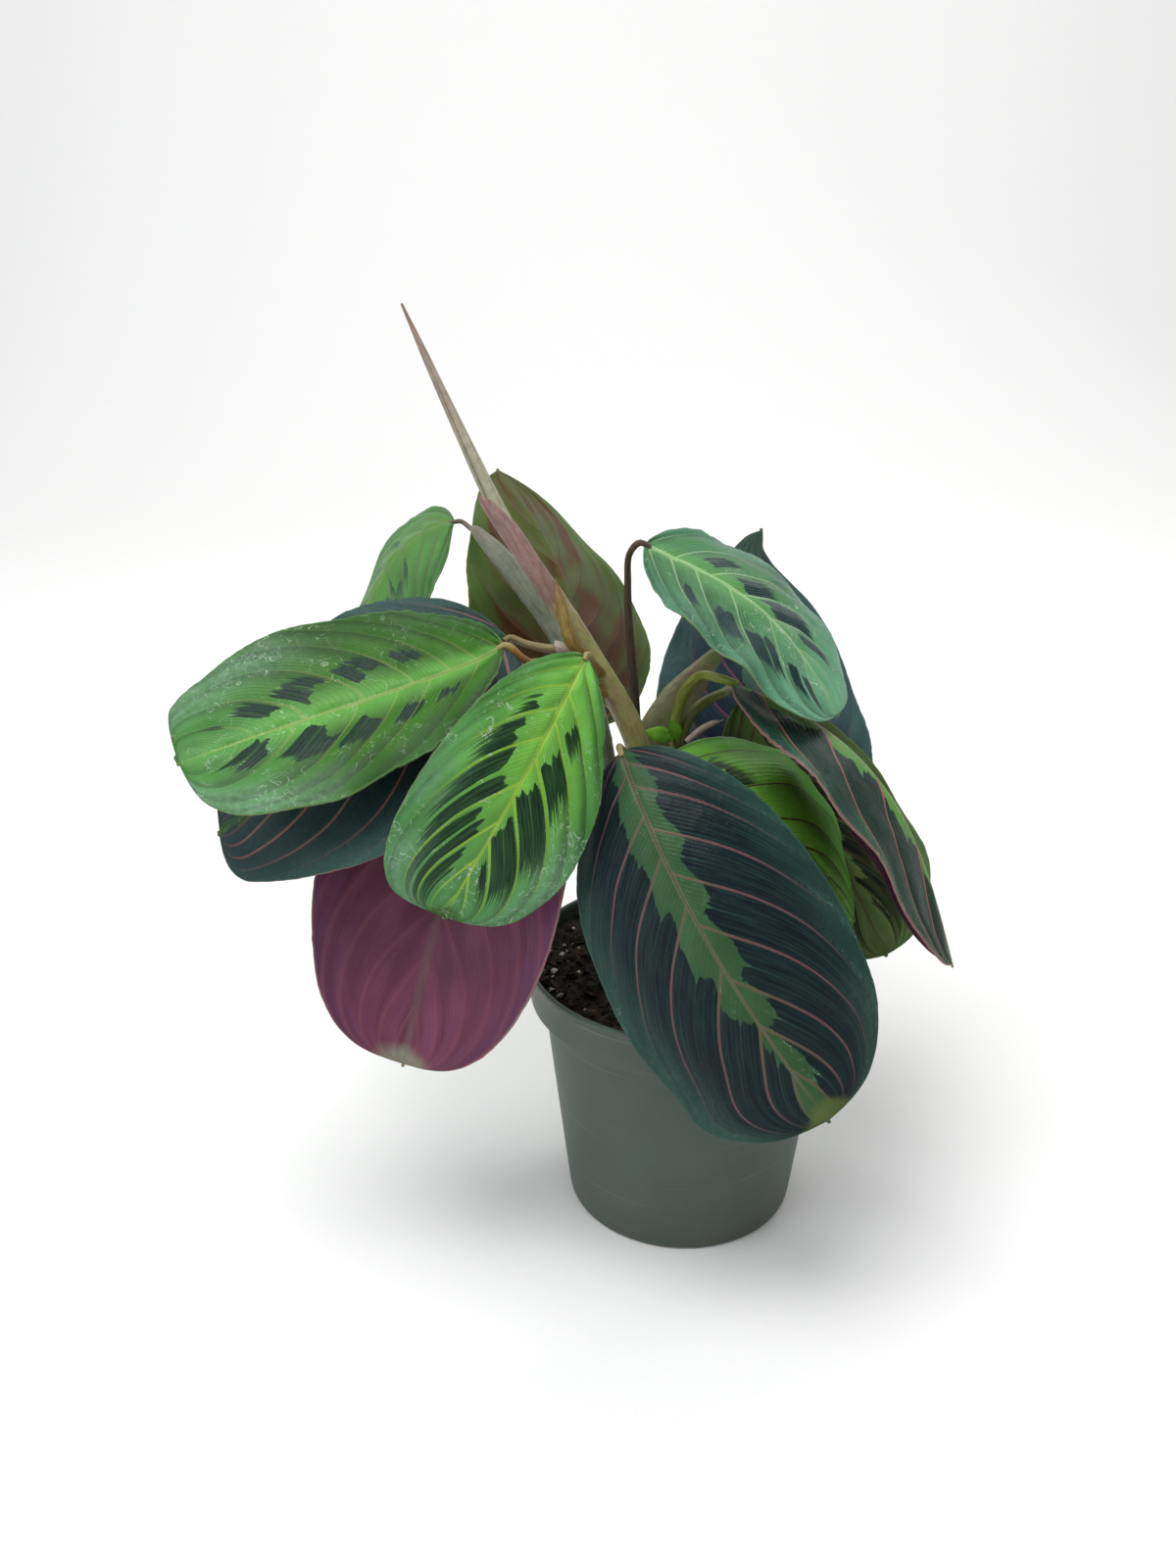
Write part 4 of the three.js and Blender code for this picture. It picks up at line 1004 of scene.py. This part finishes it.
def pot():
    """The nursery pot: a disc drawn up ring by ring to the rim and down inside to its floor."""
    bpy.ops.object.select_all(action="DESELECT")
    radius, height = POT_PROFILE[0]
    bpy.ops.mesh.primitive_circle_add(vertices=POT_SIDES, radius=radius * MM, fill_type="NGON",
                                      location=(0, 0, height * MM))
    piece = bpy.context.object
    piece.name = piece.data.name = "nursery_pot"
    bpy.ops.object.transform_apply(location=True)
    bpy.ops.object.mode_set(mode="EDIT")
    bpy.ops.mesh.select_all(action="SELECT")
    for (r0, z0), (r1, z1) in zip(POT_PROFILE, POT_PROFILE[1:]):
        bpy.ops.mesh.extrude_region_move(TRANSFORM_OT_translate={"value": (0, 0, (z1 - z0) * MM)})
        bpy.ops.transform.resize(value=(r1 / r0, r1 / r0, 1), center_override=(0, 0, z1 * MM))
    bpy.ops.mesh.select_all(action="SELECT")
    bpy.ops.mesh.normals_make_consistent(inside=False)
    bpy.ops.object.mode_set(mode="OBJECT")
    for i in range(DRAIN_COUNT):
        angle = math.radians((i + 0.5) * 360 / DRAIN_COUNT)
        place = (DRAIN_CIRCLE * MM * math.cos(angle), DRAIN_CIRCLE * MM * math.sin(angle), 0.001)
        bpy.ops.mesh.primitive_cylinder_add(vertices=32, radius=DRAIN_RADIUS * MM, depth=0.01,
                                            location=place)
        cutter = bpy.context.object
        apply_modifier(piece, "BOOLEAN", operation="DIFFERENCE", solver="EXACT", object=cutter)
        bpy.data.objects.remove(cutter)
    return piece


SOIL_COLUMNS = 220
SOIL_ROWS = 90
SOIL_TOP = 84.5
SOIL_CROWN = 1
SOIL_BUMP = 1.1
SOIL_RADIUS = 49.35
EDGE_START, EDGE_DROP = 47.5, 0.5
SOIL_WALL = ((49.3, 83.5), (49.1, 78.9), (45.2, 77.9), (36.05, 2.05))
TOP_SHARE = 0.93
LUMP_HEIGHT, LUMP_SIZE = 1.3, 3.6
CRUMB_HEIGHT, CRUMB_SIZE = 0.8, 1.5


def soil_height(x, y):
    """The packed soil's own crowned, bumpy top."""
    bumps = np.sin(0.31 * x + 1.3) * np.cos(0.27 * y - 0.6) + 0.5 * np.sin(0.83 * x - 0.52 * y)
    return SOIL_TOP + SOIL_CROWN - (x * x + y * y) / 2500 + SOIL_BUMP * bumps


def soil():
    """The soil: a disc of bumps and lumps, closed down the pot's inner wall."""
    piece, u, v = grid_piece("soil_mix", SOIL_COLUMNS, SOIL_ROWS)
    radius = 0.2 + (SOIL_RADIUS - 0.2) * np.clip(v / TOP_SHARE, 0, 1) ** 0.8
    angle = 2 * math.pi * u
    x, y = radius * np.cos(angle), radius * np.sin(angle)
    z = (soil_height(x, y) + LUMP_HEIGHT * noises(x / LUMP_SIZE, y / LUMP_SIZE, SEED)
         + CRUMB_HEIGHT * noises(x / CRUMB_SIZE, y / CRUMB_SIZE, SEED + 1))
    z = np.where(radius > EDGE_START, z - EDGE_DROP, z)
    down = np.clip((v - TOP_SHARE) / (1 - TOP_SHARE), 0, 1)
    wall_r, wall_z = (spread_over(down, column) for column in zip(*SOIL_WALL))
    on_wall = v > TOP_SHARE + 0.001
    x = np.where(on_wall, wall_r * np.cos(angle), x)
    y = np.where(on_wall, wall_r * np.sin(angle), y)
    z = np.where(on_wall, wall_z, z)
    set_points(piece, np.stack([x, y, z], axis=1) * MM)
    weld(piece)
    return piece


SCATTER_RADIUS = 48.6
SCATTER_EDGE = 49.2
LUMP_ROUGHNESS = 0.35
MOST_TIPPED = 0.8


def scattered(name, count, sizes, seed, flat=0.75, bury=0.3):
    """Small lumps on the soil: one rough ball modelled once and copied with its own mesh."""
    rng = np.random.default_rng(seed)
    bpy.ops.object.select_all(action="DESELECT")
    bpy.ops.mesh.primitive_ico_sphere_add(subdivisions=1, radius=1)
    first = bpy.context.object
    shape = get_points(first)
    copies = []
    while len(copies) < count:
        radius = SCATTER_RADIUS * math.sqrt(rng.random())
        angle = 2 * math.pi * rng.random()
        x, y = radius * math.cos(angle), radius * math.sin(angle)
        size = sizes[0] * (sizes[1] / sizes[0]) ** (rng.random() ** 1.7) / 2
        if radius + size > SCATTER_EDGE:
            continue
        lump = shape * (1 + LUMP_ROUGHNESS * rng.standard_normal((len(shape), 1)).clip(-1.2, 1.2))
        lump *= size * np.array((1, 0.55 + 0.45 * rng.random(), flat * (0.7 + 0.3 * rng.random())))
        turn, tip = rng.random(2) * (2 * math.pi, MOST_TIPPED)
        c, s, ct, st = math.cos(turn), math.sin(turn), math.cos(tip), math.sin(tip)
        lump = lump @ np.array(((1, 0, 0), (0, ct, st), (0, -st, ct)))
        lump = lump @ np.array(((c, s, 0), (-s, c, 0), (0, 0, 1)))
        top = float(soil_height(x, y)) + LUMP_HEIGHT * noise.noise((x / LUMP_SIZE, y / LUMP_SIZE, SEED))
        copy = first.copy()
        copy.data = first.data.copy()
        bpy.context.collection.objects.link(copy)
        set_points(copy, (lump + (x, y, top + size * flat * (0.5 - bury))) * MM)
        copies.append(copy)
    bpy.data.objects.remove(first)
    alone(copies[0])
    for copy in copies:
        copy.select_set(True)
    bpy.ops.object.join()
    piece = copies[0]
    piece.name = piece.data.name = name
    return piece


# Camera, light and stage

CAMERA_PLACE = (-0.032, -0.402, 0.325)
CAMERA_TILT = 66.5
LENS = 43.2
camera_data = bpy.data.cameras.new("camera")
camera = bpy.data.objects.new("camera", camera_data)
bpy.context.collection.objects.link(camera)
camera.location = CAMERA_PLACE
camera.rotation_euler = (math.radians(CAMERA_TILT), 0, 0)
camera_data.sensor_fit = "HORIZONTAL"
camera_data.sensor_width = 36
camera_data.lens = LENS
camera_data.clip_start = 0.01
bpy.context.scene.camera = camera


def lamp(name, place, target, size, watts, colour="#ffffff"):
    """A large soft box that faces the target."""
    data = bpy.data.lights.new(name, "AREA")
    data.shape = "RECTANGLE"
    data.size, data.size_y = size
    data.energy = watts
    data.color = linear(colour)[:3]
    box = bpy.data.objects.new(name, data)
    bpy.context.collection.objects.link(box)
    box.location = place
    towards = np.subtract(target, place)
    flat = math.hypot(towards[0], towards[1])
    box.rotation_euler = (math.atan2(flat, -towards[2]), 0, math.atan2(-towards[0], towards[1]))


lamp("soft_box_top", (-0.25, -0.2, 1.15), (-0.03, 0, 0.15), (0.7, 0.7), 9.5)
lamp("soft_box_left", (-1.0, -0.7, 0.6), (-0.03, 0, 0.12), (0.7, 0.9), 4, "#f4f8ff")
lamp("soft_box_back", (0.7, 0.9, 0.8), (-0.03, 0, 0.15), (0.6, 0.6), 1.5)
lamp("soft_box_backdrop", (0, 0.75, 1.5), (0, 1.5, 0.3), (1.6, 0.4), 8)

world = bpy.data.worlds.new("studio")
bpy.context.scene.world = world
world.use_nodes = True
world.node_tree.nodes["Background"].inputs["Color"].default_value = linear("#eef0f2")
world.node_tree.nodes["Background"].inputs["Strength"].default_value = 0.55
bpy.context.scene.view_settings.view_transform = "Standard"

# Studio paper: matte, near white, one sheet curved up behind the plant.
SHEET_WIDTH, SHEET_LENGTH = 6, 5.5
BEND_START, BEND_RADIUS = 1.0, 0.6
paper, tree, shader, solid = new_finish("matte studio paper")
wire(tree, shader, Roughness=0.9,
     Base_Color=blend(tree, clouded(tree, solid, 900.0, 3.0), "#efefed", "#f4f4f2"))
sheet, u, v = grid_piece("studio_sheet", 2, 60)
run = (v - 0.35) * SHEET_LENGTH
past = np.clip((run - BEND_START) / BEND_RADIUS, 0, math.pi / 2)
y = np.where(run < BEND_START, run, BEND_START + BEND_RADIUS * np.sin(past))
z = np.where(run < BEND_START, 0, BEND_RADIUS * (1 - np.cos(past)))
z += np.clip(run - BEND_START - BEND_RADIUS * math.pi / 2, 0, None)
set_points(sheet, np.stack([(u - 0.5) * SHEET_WIDTH, y, z], axis=1))
sheet.data.materials.append(paper)
smooth(sheet, 40)

# The plant

SLOTS = {"leaf_dark": ("dark", "dusky", "red_veined", "blue", "shaded"),
         "leaf_pale": ("pale", "pale_blue", "far_green"), "leaf_fresh": ("fresh", "bright")}
faces = {key: blade_face(key + " leaf skin", look) for key, look in FACES.items()}
backs = {key: blade_back(key + " leaf underside", look) for key, look in BACKS.items()}
for index, (node, leaf) in enumerate(BLADES.items()):
    slot = next(slot for slot, kinds in SLOTS.items() if leaf["face"] in kinds)
    hand_over(blade(node, leaf, faces[leaf["face"]], backs[leaf["back"]], index), slot, node)

green_skin = stalk_skin("green stalk skin", "#744f48 #868650 #8c6430 #7e7448", "#8c8450", "#7c5c48")
back_skin = stalk_skin("silvery stalk skin", "#5c6438 #667050 #76806c #544636", "#5e5240", "#6c5c4a")
fresh_skin = stalk_skin("young stalk skin", "#5c6430 #6c7834 #84923c", "#7c8a3c", "#5c3e28", 0.34)
brown_skin = stalk_skin("brown stalk skin", "#3a2f1c #352b1e #4a3a28", "#4c3a28", "#241b12")
broad_skin = stalk_skin("pale stalk skin", "#5a6a38 #66763c #747454", "#5e6c38", "#70584a")
pink_skin = stalk_skin("pink sheath skin", "#786050 #846860 #8c6e66", "#7c5850", "#644540")
dry_skin = stalk_skin("dry bract", "#7c682c #86702e #6a4a28", "#86702e", "#4a3418", 0.55)
husk_skin = stalk_skin("papery husk", "#b0a08c #bcae9c", "#b0a08c", "#8a6f60", 0.6)
sprout_skin = stalk_skin("sprout skin", "#5c8a24 #5c9420 #68a028", "#68a028", "#4c7c1c")
roll_skin = stalk_skin("rolled leaf skin", "#888a70 #84796a #6e4c44", "#6e4c44", "#a89c88")

stems = [tube("stem", [*rooted("main"), (-13, 2, 130), (-17, 3, 163), (-32, 8.5, 190.8),
                       (-44.2, 16.1, 208.2)],
              (4.2, 4.2, 4, 3.8, 3.5, 3.3), (1,) * 9 + (0.8, 0.35), knotted, sides=22)]
for name, path, radii, tones, reach, shape in (
        ("leaf_left_upper",
         [(-23.7, 5.5, 176.5), (-32, 0, 182.5), (-41, -7, 188.5), (-50, -14.3, 195.3)],
         (1.6, 1.5, 1.3, 0.9), (2, 2), 1, knuckle),
        ("leaf_front_centre", [(-27.5, 6.5, 184), (-29.5, -2, 189), (-30.5, -8, 192.6)],
         (1.7, 1.2, 0.8), (1.4, 3), 1, knuckle),
        ("leaf_left_lower",
         [(-31, 8, 189.5), (-38, 7.5, 191.2), (-45.1, 7.3, 192), (-51.5, 8.6, 193.2)],
         (1.9, 1.6, 1.2, 0.9), (3, 3), 1, knotted),
        ("leaf_low_left", [(-22, 4.6, 173), (-34, 7, 180), (-46, 11, 186)],
         (1.6, 1.5, 1.3), (1, 1.6), 5, knuckle),
        ("leaf_front_right", [(-15.5, 3, 150), (-19, -2.5, 160), (-21.6, -14, 167.2)],
         (1.9, 1.6, 1.2, 0.9), (1.4, 3), 2, knuckle),
        ("leaf_right_inner", [(-13.5, 2.2, 135), (-14.5, 8.5, 146)],
         (1.7, 1.5, 1.3), (1, 2), 5, knuckle)):
    stems.append(tube(name, path + blade_seat(name, reach), radii, tones, shape))
complete(united("stem_front", stems), green_skin, "stalk_green", "stem_main")

stem = tube("stem", [*rooted("back"), (-25, 31, 140), (-32, 32.6, 169), (-43.2, 41, 188),
                     (-57, 47, 206), (-68, 55, 216), (-71.5, 67, 214.8),
                     *blade_seat("leaf_back_left", 2)],
            (3, 3, 3, 3, 3.1, 3.2, 3.4, 3.6, 3.7, 3.2, 1.0, 0.75), (0, 1, 2, 2, 3), knotted)
branch = tube("branch", [(-23.5, 30.5, 118), (-29, 37, 132), *blade_seat("leaf_back_centre")],
              (1.9, 1.7, 1.5), (0, 1), knuckle)
complete(united("stem_behind", [stem, branch]), back_skin, "stalk_green", "stem_back")

stem = tube("stem", [*rooted("centre"), (-1, 20.5, 132), (-3.8, 22.2, 159.5), (-1.4, 22.1, 171.9),
                     (2.8, 20, 178.2), *blade_seat("leaf_right_folded")],
            (2.8, 2.8, 2.5, 2.1, 1.8, 1.3), (0, 1, 2), knotted)
branch = tube("branch", [(-3, 21.6, 146), (-0.5, 24, 160), (4, 26.3, 166.4), (12, 31, 169),
                         *blade_seat("leaf_right_shaded")], (1.8, 1.7, 1.4), (0, 1), knuckle)
complete(united("stem_middle", [stem, branch]), fresh_skin, "stalk_green", "stem_centre")

piece = tube("stalk_tall", [*rooted("brown"), (-15.5, 20.5, 130), (-16.9, 22.5, 167.8),
                            (-18.9, 28.2, 192), (-19.6, 27, 207), (-19.2, 22.6, 217.5),
                            *blade_seat("leaf_right_upper", 2)],
             (2.3, 2.3, 2.1, 1.8, 1.5, 1.2, 0.9), (0, 1, 2), knuckle)
complete(piece, brown_skin, "stalk_brown", "stalk_brown")

piece = tube("stalk_flat", [*rooted("broad"), (-10, 27.5, 130), (-11, 31, 150), (-2, 38, 164),
                            (6, 43, 172.5), (11, 46.3, 177.3)],
             (3, 3.1, 3.6, 5, 6.6, 6.4, 2.6), (0, 1, 2), sides=26, flat=0.36, facing=(0.15, -0.9, 0.4))
complete(piece, broad_skin, "stalk_green", "stalk_broad")

piece = tube("stalk_low", [*rooted("right"), (26, 23, 104), *blade_seat("leaf_back_right")],
             (1.9, 1.9, 1.8, 1.6), (0, 1), knuckle)
complete(piece, back_skin, "stalk_green", "stalk_right")

piece = wrapped("sheath_fold", [(-41.3, 14.3, 204.1), (-54, 22.2, 221.3), (-64.2, 27.5, 234.3)],
                (3.4, 3.3, 3.1, 2.3), (0, 1, 2), 1.35, 0.4, slant=0.42, facing=(-1, -0.1, -0.2))
complete(piece, pink_skin, "sheath_pink", "sheath_pink")

piece = wrapped("leaf_roll", [(-52.4, 20.9, 219), (-60.3, 30.2, 230.7), (-71.4, 41.3, 251.1),
                              (-90.1, 61.2, 286.9)],
                (2, 2.3, 1.9, 1.5, 1.1, 0.35), (0, 0.2, 1, 2), 1.8, 0.35, lap=0.3)
complete(piece, roll_skin, "rolled_leaf", "rolled_leaf")

piece = wrapped("sheath_curl", [(-32.8, 3, 189.8), (-37, 0.9, 196), (-39.9, 5.1, 205.4),
                                (-42.3, 11, 212.6)],
                (1.9, 2.1, 1.7, 0.8), (0, 1, 2), 1.2, 0.3, slant=0.35)
complete(piece, dry_skin, "dry_bract", "sheath_dry")

piece = wrapped("bract_curl", [(-0.4, 20.4, 156.2), (4.6, 22, 160), (11.4, 25, 162.5)],
                (1, 1.1, 0.8), (2, 2), 1.2, 0.25, slant=0.3, columns=24, step=0.5)
complete(piece, husk_skin, "dry_bract", "bract_dry")

piece = wrapped("husk_ring", [(-35.6, 7.7, 190.9), (-39, 7.5, 191.4), (-42.5, 7.4, 191.9)],
                (2.1, 2.3, 2.5), (0, 1), 1.1, 0.25, slant=0.4, columns=24, step=0.5)
complete(piece, husk_skin, "dry_bract")

parts = [tube("sprout", [(-4.7, 19.4, 157.4), (-5.2, 17.2, 158.6), (-5.5, 15.6, 159.6)],
              (0.9, 0.8), (0, 1), sides=12, step=0.4)]
for path, radii in (
        ([(-5, 15.8, 159.4), (-9, 14.6, 160.9), (-14.3, 13.4, 162.6)], (0.6, 2.2, 2.7, 2.3, 1.3, 0.2)),
        ([(-5.4, 15.7, 159.3), (-4.4, 14.8, 162.2), (-6, 13.9, 166.4)], (0.6, 1.9, 2.4, 2, 1.1, 0.2))):
    parts.append(tube("leaflet", path, radii, (1, 2), sides=20, flat=0.24, facing=(0, -0.9, 0.45),
                      step=0.5))
complete(united("sprout_pair", parts), sprout_skin, "leaf_fresh", "sprout")

complete(pot(), pot_plastic(), "pot", "pot", degrees=32)
mix = potting_mix("peat potting mix")
bark = potting_mix("bark chips", "#2a1d13", "#5a4330")
complete(soil(), mix, "soil", "soil", degrees=70)
complete(scattered("soil_crumbs", 1500, (1.0, 3.6), SEED), mix, "soil", degrees=40)
complete(scattered("bark_bits", 160, (2.0, 6.0), SEED + 2, flat=0.4), bark, "soil", degrees=40)
complete(scattered("perlite_bits", 110, (1.2, 3.0), SEED + 3), perlite(), "soil", degrees=40)
